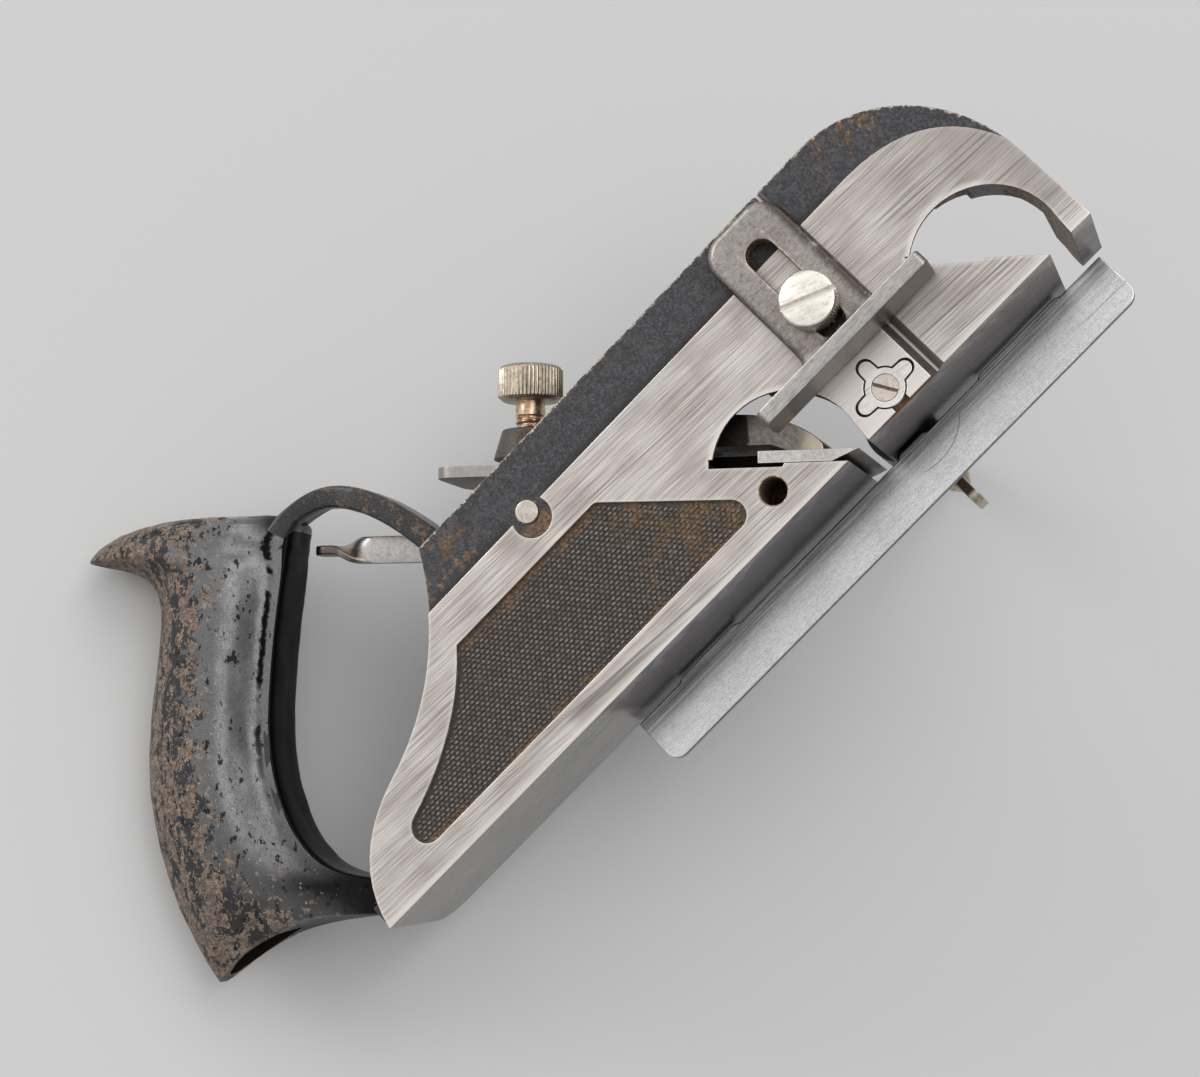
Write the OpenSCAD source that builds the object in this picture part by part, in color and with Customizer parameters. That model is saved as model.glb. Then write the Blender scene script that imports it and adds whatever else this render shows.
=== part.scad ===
// Duplex rebate plane with side fence, depth stop and spur.
// X runs from heel to toe, Y to the plane's left, Z up from the sole.

/* [Stock] */
// Length of the sole from heel to toe
sole_len = 210; // [180:1:240]
// Width of the sole and of the cutting edge
sole_w = 38; // [30:0.5:50]
// Thickness of the sole plate
sole_t = 6; // [4:0.5:9]
// Thickness of the right cheek
cheek_t = 6; // [4:0.5:8]
// Height of the straight top edge of the cheek
cheek_h = 54.8; // [48:0.2:62]
// Height to which the cheek is ground
ground_h = 42.7; // [36:0.1:50]
// Depth of the japanned rim below the ground face
rim_step = 0.8; // [0.3:0.1:1.5]
// Depth of the pebbled panel below the ground face
panel_depth = 1.2; // [0.6:0.1:2]
// Radius of the rounded rear left corner of the sole
heel_r = 7; // [2:0.5:12]

/* [Mouths] */
// Angle of both cutter beds above the sole
bed_deg = 44.4; // [40:0.1:50]
// Rear edge of the main mouth, ahead of mid sole
main_x = 35; // [25:0.5:45]
// Rear edge of the bull-nose mouth, ahead of mid sole
bull_x = 93.6; // [90:0.2:96]
// Length of each mouth opening along the sole
mouth_gap = 5.8; // [4:0.1:8]
// Radius of the throat arches
throat_r = 16.5; // [13:0.1:18]
// Length of the ground cutter seat behind each mouth
seat_len = 13; // [8:0.5:20]
// Depth of the relieved bed behind the seat
seat_relief = 0.8; // [0.3:0.1:1.5]
// Thickness of the cutter bed plate
bed_t = 6; // [4:0.5:8]
// Length of the cutter bed up the slope
bed_len = 76; // [60:1:80]

/* [Handle] */
// Lean of the grip above the sole
grip_deg = 47.85; // [44:0.05:52]
// Distance of the grip's drawing origin ahead of the heel
grip_back = 105; // [95:0.5:115]
// Half thickness of the grip across the hand
grip_half = 14; // [11:0.5:17]
// Wall of the hollow grip
grip_wall = 3; // [2:0.25:5]
// Width of the strap that closes the handle at the top
strap_w = 10; // [6:0.5:12]

/* [Cutter] */
// Thickness of the cutter
cutter_t = 2.6; // [2:0.1:4]
// Length of the wide part of the cutter
cutter_wide_len = 21.4; // [18:0.2:26]
// Whole length of the cutter
cutter_len = 95.8; // [88:0.2:98]
// Width of the narrow part of the cutter
cutter_narrow_w = 24; // [18:0.5:25]
// Length of the bevel along the cutter
cutter_bevel = 5.7; // [4:0.1:8]
// Distance of the cutting edge past the rear edge of the mouth
cutter_out = 2.2; // [1.5:0.1:2.6]
// Pitch of the feed grooves under the cutter
groove_pitch = 2.6; // [2:0.1:4]
// Width of each feed groove
groove_w = 1.8; // [1.2:0.1:2.4]
// Depth of each feed groove
groove_d = 1.1; // [0.6:0.1:1.4]

/* [Lever cap] */
// Width of the lever cap
cap_w = 23; // [16:0.5:24]
// Height of the lever cap above the bed
cap_h = 12; // [9:0.2:14]
// Position of the stud up the bed
stud_s = 45; // [36:0.5:56]
// Diameter of the stud
stud_d = 5; // [4:0.1:6]
// Diameter of the stud head
stud_head_d = 9; // [7:0.1:11]
// Position of the clamping screw up the bed
clamp_s = 75; // [68:0.5:78]
// Diameter of the clamping screw
clamp_d = 6.7; // [5:0.1:8]
// Diameter of the knurled head of the clamping screw
clamp_head_d = 14.6; // [12:0.1:18]
// Height of the underside of the knurled head above the bed
clamp_head_z = 18; // [16:0.1:20]
// Height of the knurled head
clamp_head_h = 8; // [6:0.1:10]

/* [Adjusting lever] */
// Pivot pin position ahead of mid sole
pin_x = -21; // [-26:0.5:-16]
// Pivot pin height above the sole
pin_z = 42.6; // [38:0.1:45]
// Diameter of the pivot pin
pin_d = 5.2; // [4:0.1:6]
// Thickness of the lever strip
lever_t = 2.2; // [1.6:0.1:3]
// Height of the lever strip
lever_h = 6.2; // [5:0.1:8]
// Length of the lever from its pin to the twist of its finger tab
lever_arm = 46.5; // [40:0.5:50]
// Least distance along the bed from that twist to the strap's root
lever_clear = 8.6; // [8:0.1:14]
// Length of the finger tab past its twist
tab_len = 10; // [7:0.5:11]
// Left offset of the lever's right face from mid width
lever_y = 0.2; // [-1:0.1:2]

/* [Depth stop] */
// Position of the depth stop screw ahead of mid sole
stop_x = 52.9; // [48:0.1:56]
// Height of the depth stop screw above the sole
stop_screw_z = 28.1; // [24:0.1:34]
// Width of the slotted plate
stop_w = 20; // [16:0.2:24]
// Thickness of the slotted plate
stop_t = 4; // [3:0.1:5]
// Top of the slotted plate above the sole as set
stop_top = 53.2; // [48:0.1:58]
// Lower end of the slot above the sole as set
slot_low = 19.4; // [18:0.1:22]
// Upper end of the slot above the sole as set
slot_high = 46.4; // [40:0.1:50]
// Width of the slot
slot_w = 6.7; // [6.2:0.1:8]
// Underside of the foot above the sole as set
foot_z = 14.5; // [12:0.1:20]
// Thickness of the foot
foot_t = 3.5; // [2.5:0.1:5]
// Length of the foot along the sole
foot_len = 46.5; // [36:0.5:56]
// Reach of the foot out from the cheek
foot_reach = 12.3; // [9:0.1:16]
// Diameter of the depth stop screw shank
stop_shank_d = 6; // [5:0.1:6.4]
// Diameter of the depth stop screw head
stop_head_d = 12.5; // [10:0.1:15]
// Thickness of the depth stop screw head
stop_head_t = 5; // [3:0.1:7]
// Width of the V-shaped guide groove in the cheek
guide_w = 3.8; // [3:0.1:4.2]
// Depth of the guide groove in the cheek
guide_d = 2; // [1:0.1:3]

/* [Spur] */
// Position of the spur ahead of mid sole
spur_x = 50.9; // [46:0.1:54]
// Height of the spur screw above the sole
spur_z = 5.3; // [4:0.1:8]
// Thickness of the spur
spur_t = 2; // [1.4:0.1:2.6]
// Radius of the spur hub
spur_hub_r = 4.25; // [3.5:0.05:5]
// Reach of each spur lobe from the screw
spur_reach = 7.6; // [6:0.1:9]
// Width of each spur lobe
spur_lobe_w = 3.5; // [2.4:0.1:4.5]
// Diameter of the spur screw head
spur_head_d = 5.7; // [4.5:0.1:7]
// Diameter of the spur screw shank
spur_shank_d = 3.8; // [3:0.1:4.2]

/* [Fence] */
// Distance of the fence face left of mid width as set
fence_y = 12; // [6:0.5:19]
// Thickness of the fence plate
fence_t = 5; // [3.5:0.1:7]
// Rear end of the fence from mid sole
fence_rear = -40.5; // [-50:0.5:-30]
// Front end of the fence from mid sole
fence_front = 103; // [90:0.5:105]
// Depth of the fence below the sole
fence_depth = 13.5; // [11:0.1:25]
// Running gap between the fence pads and the sole
fence_gap = 0.6; // [0.3:0.1:1.2]
// Height of the fence pads
pad_h = 1.1; // [0.5:0.1:2]
// Fence arm position ahead of mid sole
arm_x = 47.5; // [44:0.5:56]
// Height of both arm holes above the sole
arm_z = 6.9; // [6:0.1:9]
// Diameter of the fence arm
arm_d = 9.5; // [8:0.1:11]
// Reach of the fence arm from the left side of the stock
arm_reach = 79; // [60:1:110]
// Diameter of the threaded end of the fence arm
arm_thread_d = 6; // [5:0.1:7]
// Length of the threaded end of the fence arm
arm_thread_len = 12; // [8:0.5:15]
// Right-hand arm hole position ahead of mid sole
right_arm_x = 19.5; // [16:0.5:23]
// Length of the fence boss along the arm
boss_len = 20; // [14:0.5:28]
// Diameter of the fence boss
boss_d = 17; // [14:0.2:20]
// Gap between the fence boss and the stock as set
boss_gap = 8; // [2:0.5:20]
// Diameter of the fence thumbscrew
thumb_d = 6; // [5:0.1:7]
// Lowest point of the fence thumbscrew below the sole
thumb_low = 17.4; // [15:0.1:24]

/* [Fits] */
// Radial clearance of turning shanks in their holes
fit = 0.05; // [0.02:0.01:0.1]
// Clearance between sliding faces
slide_gap = 0.15; // [0.1:0.05:0.3]

/* [Hidden] */
$fn = 96;
half_w = sole_w / 2;
heel_x = -sole_len / 2;
toe_x = sole_len / 2;
right_y = -half_w;
inner_y = right_y + cheek_t;
cb = cos(bed_deg);
sb = sin(bed_deg);
pin_s = (main_x - pin_x) * cb + pin_z * sb;
pin_h = (pin_x - main_x) * sb + pin_z * cb;
lever_l = lever_y + lever_t;
well_r = lever_y - 0.5;
well_l = lever_l + 0.5;
arm_c = pin_h - 5.5;
lever_len = min(lever_arm, (pin_x - heel_x - 44.6) / cb - lever_clear);
stop_back = right_y - slide_gap;
stop_face = stop_back - stop_t;
stop_front_x = stop_x + stop_w / 2;
guide_x = stop_front_x - guide_w / 2;
boss_y0 = half_w + boss_gap;
boss_y1 = boss_y0 + boss_len;
thumb_y = (boss_y0 + boss_y1) / 2;
fence_top = -fence_gap - pad_h;
nib_reach = groove_d - 0.35;
bed_dip = 0.05;

// Plane curves

function mix(a, b, t) = a + (b - a) * t;
function bez(p, q, r, n) = [for (i = [0 : n]) let (t = i / n) mix(mix(p, q, t), mix(q, r, t), t)];
function arc(c, rx, rz, a0, a1, n) = [for (i = [0 : n]) let (a = mix(a0, a1, i / n))
    [c[0] + rx * cos(a), c[1] + rz * sin(a)]];
function flip(v) = [for (i = [len(v) - 1 : -1 : 0]) v[i]];
function shift(v, d) = [for (p = v) p + d];

// Rear edge of the cheek: a round heel that sweeps up to the top corner.
heel_swell = bez([heel_x, 0], [heel_x + 3, 17], [heel_x + 22.4, 22.8], 10);
heel_sweep = bez([heel_x + 22.4, 22.8], [heel_x + 48.2, 30.5], [heel_x + 61.2, cheek_h], 12);
rear_edge = concat(heel_swell, [for (i = [1 : 12]) heel_sweep[i]]);
nose_edge = arc([toe_x - 31, cheek_h - 35], 31, 35, 90, 0, 18);

module cheek_shape() {
    polygon(concat(rear_edge, nose_edge, [[toe_x, 0]]));
}

// Everything the surface grinder reached.
module ground_shape() {
    polygon(concat([[heel_x - 9, ground_h]],
        bez([toe_x - 31, ground_h], [toe_x - 7, ground_h + 0.8], [toe_x - 0.4, 24], 14),
        [[toe_x + 9, 20], [toe_x + 9, -9], [heel_x - 9, -9]]));
}

// Throat arch over one mouth, open through the sole.
module throat_shape(m) {
    intersection() {
        union() {
            translate([m - 9.9, 7.9])
                circle(r = throat_r);
            polygon([[m - 9.9, 7.9], [m - 9.9, -1], [m + mouth_gap, -1], [m + mouth_gap, 0],
                [m - 9.9 + throat_r, 7.9]]);
        }
        polygon([[m + 2 * cb, -2 * sb], [m - 60 * cb, 60 * sb], [m + 40, 60 * sb], [m + 40, -2 * sb]]);
    }
}

module flare_shape(m) {
    intersection() {
        translate([m - 11.2, 9.4])
            circle(r = throat_r + 0.6);
        polygon([[m - 20 * cb, 20 * sb + 0.6], [m - 55 * cb, 55 * sb], [m - 2, 55 * sb], [m - 2, 20 * sb + 0.6]]);
    }
}

// Pebbled panel, with one end swept like the heel and one edge beside the bed.
panel_low = 6.4;
panel_high = 33.1;
panel_front = main_x - 11;
module panel_shape() {
    polygon(concat(
        arc([panel_front - panel_low - 8, panel_low + 3.3], 3.3, 3.3, -90, 45, 8),
        arc([panel_front - panel_high - 0.9, panel_high - 2], 2, 2, 45, 90, 4),
        bez([heel_x + 52.9, panel_high], [heel_x + 41, 19.3], [heel_x + 20, 13.2], 10),
        arc([heel_x + 21.2, panel_low + 3.5], 3.5, 3.5, 120, 270, 8)));
}

// Solid helpers

module plate(y0, y1) {
    translate([0, y1, 0])
        rotate([90, 0, 0])
            linear_extrude(height = y1 - y0)
                children();
}

// Local axes of a bed: X up the slope, Z square to the bed, Y to the right.
module bed_axes(m) {
    translate([m, 0, 0])
        rotate([0, 0, 180])
            rotate([0, -bed_deg, 0])
                children();
}

module bed_plate(m, y0, y1) {
    bed_axes(m)
        translate([0, -y0, 0])
            rotate([90, 0, 0])
                linear_extrude(height = y1 - y0)
                    children();
}

// Bar along Y between two positions.
module y_bar(x, z, y0, y1, d) {
    translate([x, y0, z])
        rotate([-90, 0, 0])
            cylinder(d = d, h = y1 - y0);
}

// Bar square to the main bed between two heights.
module bed_bar(s, h0, h1, d) {
    bed_axes(main_x)
        translate([s, 0, h0])
            cylinder(d = d, h = h1 - h0);
}

// Hollow grip, drawn in rings from its top to its open underside and back up inside.

cg = cos(grip_deg);
sg = sin(grip_deg);

// One side of a ring: share of the way from finger side to palm, share of the half thickness.
ring_side = [[0, 0], [0, 0.36], [0.008, 0.47], [0.03, 0.515], [0.07, 0.52], [0.11, 0.535], [0.16, 0.6],
    [0.23, 0.73], [0.32, 0.88], [0.43, 0.98], [0.53, 1], [0.64, 0.96], [0.74, 0.87], [0.83, 0.73],
    [0.91, 0.54], [0.965, 0.34], [0.992, 0.16], [1, 0]];
ring_n = len(ring_side);
ring_loop = concat([for (p = ring_side) p],
    [for (i = [ring_n - 2 : -1 : 1]) [ring_side[i][0], -ring_side[i][1]]]);
ring_m = len(ring_loop);

function ease(t) = t >= 1 ? 1 : t * t * (3 - 2 * t);
function tail_drop(b) = min(14.6, 16 * pow(max(0, b - 95) / 32, 1.9));

// Point of a ring: level, finger side, palm side, half thickness, share of the tail's drop, drop of the root.
function ring_point(r, p) = let (
    depth = mix(r[1], r[2], p[0]),
    level = r[0] - r[4] * tail_drop(depth) - r[5] * ease(p[0] / 0.15),
    half = p[1] * r[3])
    [cg * level - sg * depth, half, sg * level + cg * depth];

outer_rings = [
    [22.9, 116, 132, 3, 0, 0], [22.6, 110, 138.2, 7.5, 0, 0], [21.8, 106, 143, 10, 0, 0],
    [20.5, 103.8, 148.2, 11.6, 0, 0], [19, 103.6, 151.7, 12.4, 0, 0], [17.2, 104, 154.5, 12.8, 0, 0],
    [15.7, 104.3, 156.1, 13, 0, 0], [14.4, 104.5, 156.7, 13.1, 0, 0], [13.4, 104.7, 153, 13.2, 0, 0],
    [12.2, 104.9, 148, 13.3, 0, 0], [10.6, 105.1, 143.5, 13.4, 0, 0], [8, 105.5, 140.4, 13.5, 0, 0],
    [3, 106.3, 138.5, 13.7, 0, 0], [-5, 107.5, 138.7, 13.9, 0, 0], [-14, 108.5, 140, 14, 0, 0],
    [-24, 109.2, 141.4, 14, 0, 0], [-33, 108.8, 141.9, 14, 0, 0], [-41, 107.1, 141.6, 13.9, 0, 0],
    [-47.5, 104.6, 140.3, 13.7, 0.12, 0], [-52.5, 101.3, 138.4, 13.3, 0.26, 0],
    [-56.4, 97.3, 136.4, 12.7, 0.42, 0.4], [-58.7, 92.3, 133.9, 12, 0.6, 1.2],
    [-59.8, 86.8, 131.3, 11.2, 0.78, 2.6], [-60.6, 81.5, 128.7, 10.4, 0.92, 4.6],
    [-61.6, 77, 126, 9.6, 1, 6.3]];
inner_rings = [
    [-68, 103.5, 123.4, 6.8, 1, 0], [-64, 105.5, 126.6, 8, 0.85, 0], [-56, 109.5, 132.5, 9.4, 0.4, 0],
    [-45, 110.5, 137, 10.6, 0.1, 0], [-31, 112.2, 138.8, 11, 0, 0], [-16, 111.8, 137.4, 10.8, 0, 0],
    [-6, 111.6, 135, 9.6, 0, 0], [-1, 115, 131, 6.5, 0, 0], [1, 119, 127, 3, 0, 0]];
wall_share = grip_wall / 3;
grip_rings = concat(
    [for (r = outer_rings) [r[0], r[1], r[2], r[3] * grip_half / 14, r[4], r[5]]],
    [for (r = inner_rings) [r[0], r[1] + 3 * (wall_share - 1), r[2] - 3 * (wall_share - 1),
        r[3] * grip_half / 14 - 3 * (wall_share - 1), r[4], r[5]]]);
ring_count = len(grip_rings);

module grip() {
    ends = [0, ring_count - 1];
    points = concat([for (r = grip_rings) for (p = ring_loop) ring_point(r, p)],
        [for (e = ends) let (r = grip_rings[e]) ring_point([r[0], r[1], r[2], 0, 0, 0], [0.5, 0])]);
    top_hub = ring_count * ring_m;
    low_hub = top_hub + 1;
    last = (ring_count - 1) * ring_m;
    walls = [for (k = [0 : ring_count - 2]) for (i = [0 : ring_m - 1]) let (
        a = k * ring_m + i,
        b = k * ring_m + (i + 1) % ring_m,
        c = a + ring_m,
        d = b + ring_m)
        each [[a, b, d], [a, d, c]]];
    caps = [for (i = [0 : ring_m - 1]) let (j = (i + 1) % ring_m)
        each [[top_hub, j, i], [low_hub, last + i, last + j]]];
    polyhedron(points = points, faces = concat(walls, caps), convexity = 8);
}

// Strap from the grip to the top of the cheek.
strap_outer = bez([heel_x + 39, cheek_h + 33.8], [heel_x + 62, cheek_h + 32.7], [heel_x + 66, cheek_h + 1], 12);
strap_inner = bez([heel_x + 42, cheek_h + 29.2], [heel_x + 57.5, cheek_h + 25.7], [heel_x + 60.2, cheek_h + 1], 12);
module strap_shape() {
    polygon(concat([[heel_x + 35, cheek_h + 33.2]], strap_outer, [[heel_x + 66, cheek_h - 2], [heel_x + 60.2, cheek_h - 2]],
        flip(strap_inner), [[heel_x + 37, cheek_h + 27.2]]));
}

// Rounded inside corner between the grip and the strap.
module strap_root_shape() {
    translate([heel_x, cheek_h])
        polygon([[39.5, 28.1], [41.1, 29], [42.8, 29.6], [44.6, 29.8], [46.4, 29.3], [48, 28.3], [49.3, 27.2],
            [49.9, 29.6], [47.4, 32.1], [43.9, 33.9], [37.4, 37], [34.1, 33.7]]);
}

// Stock

module rear_body() {
    // Sole behind the main mouth, with a rounded left heel corner.
    linear_extrude(height = sole_t)
        polygon(concat([[heel_x, right_y + 1], [main_x + 1, right_y + 1], [main_x + 1, half_w]],
            arc([heel_x + heel_r, half_w - heel_r], heel_r, heel_r, 90, 180, 10)));
    // Solid wedge under the bed beside the mouth.
    plate(inner_y - 1, half_w)
        polygon([[main_x - bed_dip / sb, 0], [main_x - 34, 0], [main_x - 34, 9],
            [main_x - 34 * cb - bed_dip * sb, 34 * sb - bed_dip * cb]]);
    // Bed plate carried up to the clamping screw.
    bed_plate(main_x, inner_y - 1, 12)
        polygon([[0.1, -bed_dip], [bed_len, -bed_dip], [bed_len - 3, -bed_t], [bed_t + 1, -bed_t]]);
    // Back wall under the sweep of the heel.
    plate(inner_y - 1, 12)
        polygon(concat(rear_edge, flip(shift(rear_edge, [6.5, 0.01]))));
    // Pin lug that ties the bed to the back wall.
    plate(well_l, well_l + 4)
        polygon([[-12, 45], [-3, 35], [-14, 33], [heel_x + 65, 46], [heel_x + 62, cheek_h - 0.4], [-34, cheek_h - 0.4],
            [-21, 52]]);
    plate(inner_y - 1, well_r)
        polygon([[-26, 54], [-16, 46], [heel_x + 69, 40], [heel_x + 57, 47], [heel_x + 62, cheek_h - 0.4]]);
}

module front_body() {
    // Block between the mouths, which carries the bull-nose bed.
    plate(inner_y - 1, half_w)
        polygon([[main_x + 5, 0], [main_x + 6, 8], [main_x + 10, 16], [main_x + 17, 22], [main_x + 27, 24.5],
            [bull_x - 35 * cb - bed_dip * sb, 35 * sb - bed_dip * cb], [bull_x - bed_dip / sb, 0]]);
    // Tapped boss behind the depth stop.
    y_bar(stop_x, stop_screw_z, inner_y - 1, inner_y + 6, 13);
    // Toe that widens from the horn to the whole sole.
    intersection() {
        translate([toe_x - 20, 0, 0])
            rotate([90, 0, 90])
                linear_extrude(height = 20)
                    polygon(concat([[right_y + 1, 0]], arc([half_w - 5, 5], 5, 5, -90, 60, 6),
                        [[inner_y + 8, 10.5], [inner_y + 4, 15], [inner_y + 3, 30], [right_y + 1, 34]]));
        plate(-half_w, half_w)
            difference() {
                cheek_shape();
                translate([bull_x - 30, -1])
                    square([30 + mouth_gap, 9]);
                throat_shape(bull_x);
            }
        translate([0, 0, 0])
            linear_extrude(height = 60)
                polygon(concat([[0, right_y], [toe_x, right_y]],
                    arc([toe_x - 5, half_w - 5], 5, 5, 0, 90, 8), [[0, half_w]]));
    }
}

// Cross section of the guide groove, its point to the left.
module guide_shape() {
    wide = guide_w / 2 * (1 + 1 / guide_d);
    polygon([[-wide, -1], [wide, -1], [0, guide_d]]);
}

module spur_recess() {
    translate([spur_x, 0, spur_z])
        rotate([90, 0, 0])
            linear_extrude(height = half_w + 1)
                union() {
                    circle(r = spur_hub_r + 0.25);
                    for (a = [0, 90, 180])
                        rotate(a)
                            spur_lobe(0.25);
                    translate([-spur_lobe_w / 2 - 0.25, -spur_z - 2])
                        square([spur_lobe_w + 0.5, spur_z + 2]);
                }
}

module spur_lobe(grow) {
    tip = spur_reach - spur_lobe_w / 2;
    translate([0, -spur_lobe_w / 2 - grow])
        square([tip, spur_lobe_w + 2 * grow]);
    translate([tip, 0])
        circle(d = spur_lobe_w + 2 * grow);
}

module stock() {
    color([0.16, 0.16, 0.17])
        difference() {
            union() {
                plate(right_y, inner_y)
                    cheek_shape();
                rear_body();
                front_body();
                plate(inner_y, inner_y + strap_w)
                    strap_shape();
                plate(-7, 7)
                    strap_root_shape();
                translate([heel_x + grip_back, 0, 0])
                    grip();
            }
            // Mouths and throats through the whole width.
            for (m = [main_x, bull_x])
                plate(-half_w - 1, half_w + 1)
                    throat_shape(m);
            // Throats flared behind the thin front edge of the cheek.
            for (m = [main_x, bull_x])
                plate(right_y + 1, half_w + 1)
                    flare_shape(m);
            // Relieved beds behind the seats.
            bed_plate(main_x, -half_w - 1, half_w + 1)
                polygon([[seat_len, 1], [seat_len + 1, -seat_relief], [29.8, -seat_relief], [29.8, 1]]);
            bed_plate(bull_x, -half_w - 1, half_w + 1)
                polygon([[seat_len, 1], [seat_len + 1, -seat_relief], [29.8, -seat_relief], [29.8, 1]]);
            // Japanned rim and pin boss, set back from the ground face.
            plate(right_y - 1, right_y + rim_step) {
                difference() {
                    translate([heel_x - 5, 0])
                        square([sole_len + 10, cheek_h + 5]);
                    ground_shape();
                }
                translate([pin_x, pin_z - 1.7])
                    circle(d = 9);
            }
            // Pebbled panel.
            plate(right_y - 1, right_y + panel_depth)
                panel_shape();
            // Guide groove for the depth stop.
            translate([guide_x, right_y, -1])
                linear_extrude(height = cheek_h + 5)
                    guide_shape();
            // Depth stop screw hole.
            y_bar(stop_x, stop_screw_z, right_y - 1, inner_y + 7, stop_shank_d + 2 * fit);
            // Spur recess and screw hole.
            intersection() {
                spur_recess();
                translate([spur_x - 12, right_y - 1, -3])
                    cube([24, spur_t + 0.2 + 1, 24]);
            }
            y_bar(spur_x, spur_z, right_y - 1, right_y + 10, spur_shank_d + 2 * fit);
            // Arm holes, one on each side.
            y_bar(right_arm_x, arm_z, right_y - 1, right_y + arm_thread_len + 1, arm_thread_d);
            y_bar(arm_x, arm_z, half_w - arm_thread_len - 1, half_w + 1, arm_thread_d);
            // Stud hole in the main bed and the spare one in the bull-nose bed.
            bed_bar(stud_s, -bed_t - 2, 1, stud_d);
            bed_axes(bull_x)
                translate([20, 0, -10])
                    cylinder(d = stud_d, h = 11);
            // Pivot pin hole.
            y_bar(pin_x, pin_z, right_y - 1, well_l + 5, pin_d);
            // Well for the adjusting lever.
            lever_well();
        }
}

// Room for the lever to swing between the pin lugs.
module lever_well() {
    bed_plate(main_x, well_r, well_l)
        polygon([[pin_s - 7, 1], [pin_s + 6, 1], [pin_s + 6, -4], [pin_s + 40, -4], [pin_s + 40, -30],
            [pin_s + 18, -26], [pin_s - 8, -19], [pin_s - 8, -4]]);
}

// Cutter

module cutter() {
    tip = -cutter_out;
    top = tip + cutter_len;
    narrow = cutter_narrow_w / 2;
    corner = 4;
    color([0.62, 0.62, 0.63])
        difference() {
            union() {
                bed_plate(main_x, -half_w, half_w)
                    polygon([[tip, cutter_t], [tip + cutter_bevel, 0], [tip + cutter_wide_len, 0],
                        [tip + cutter_wide_len, cutter_t]]);
                bed_axes(main_x)
                    linear_extrude(height = cutter_t)
                        polygon(concat([[tip + cutter_wide_len - 1, -narrow]],
                            arc([top - corner, corner - narrow], corner, corner, -90, 0, 8),
                            arc([top - corner, narrow - corner], corner, corner, 0, 90, 8),
                            [[tip + cutter_wide_len - 1, narrow]]));
            }
            // Long slot over the stud.
            bed_axes(main_x)
                translate([0, 0, -1])
                    linear_extrude(height = cutter_t + 2) {
                        translate([stud_s - 8, -stud_d / 2 - 0.5])
                            square([16, stud_d + 1]);
                        translate([stud_s - 8, 0])
                            circle(d = stud_d + 1);
                        translate([stud_s + 8, 0])
                            circle(d = stud_head_d + 1);
                    }
            // Feed grooves across the underside.
            for (k = [-2 : 3])
                bed_axes(main_x)
                    translate([pin_s + k * groove_pitch - groove_w / 2, -narrow - 1, -1])
                        cube([groove_w, cutter_narrow_w + 2, groove_d + 1]);
        }
}

// Lever cap and its screws

module lever_cap() {
    w = cap_w / 2;
    color([0.25, 0.24, 0.22])
        difference() {
            union() {
                bed_plate(main_x, -w, w)
                    polygon(concat([[7, cutter_t], [6.6, cutter_t + 1.2]],
                        bez([6.8, cutter_t + 2.2], [11, cap_h - 2.2], [22, cap_h - 0.5], 8),
                        [[30, cap_h], [stud_s + 8, cap_h - 2.5], [clamp_s - 4, cap_h - 4.5],
                        [clamp_s - 2, cutter_t + 2.2], [18, cutter_t + 2.2], [12, cutter_t]]));
                bed_axes(main_x)
                    translate([clamp_s, 0, cutter_t + 2.2])
                        cylinder(d1 = 16.4, d2 = 12.4, h = cap_h - cutter_t - 2.6);
            }
            // Keyhole over the stud.
            bed_axes(main_x)
                linear_extrude(height = cap_h + 5) {
                    translate([stud_s - 9, -stud_d / 2 - 0.4])
                        square([9, stud_d + 0.8]);
                    translate([stud_s, 0])
                        circle(d = stud_d + 0.8);
                    translate([stud_s - 9, 0])
                        circle(d = stud_head_d + 1);
                }
            // Flat under the stud head.
            bed_axes(main_x)
                translate([stud_s - 15, -stud_head_d / 2 - 1.5, cap_h - 3.6])
                    cube([22, stud_head_d + 3, 9]);
            bed_bar(clamp_s, 0, cap_h + 5, clamp_d + 2 * fit);
        }
}

module lever_cap_stud() {
    seat = cap_h - 3.6;
    color([0.5, 0.49, 0.47])
        difference() {
            union() {
                bed_bar(stud_s, -bed_t, seat + 1, stud_d);
                bed_bar(stud_s, seat, seat + 2.6, stud_head_d);
            }
            bed_axes(main_x)
                translate([stud_s - 6, -0.6, seat + 1.4])
                    cube([12, 1.2, 4]);
        }
}

module clamp_thumbscrew() {
    color([0.72, 0.66, 0.56]) {
        bed_bar(clamp_s, cutter_t, clamp_head_z + 1, clamp_d);
        bed_axes(main_x)
            translate([clamp_s, 0, clamp_head_z])
                rotate_extrude()
                    polygon([[0, 0], [clamp_head_d / 2 - 1, 0], [clamp_head_d / 2, 0.8],
                        [clamp_head_d / 2, clamp_head_h - 0.7], [clamp_head_d / 2 - 0.8, clamp_head_h], [0, clamp_head_h]]);
    }
}

// Adjusting lever

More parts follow.
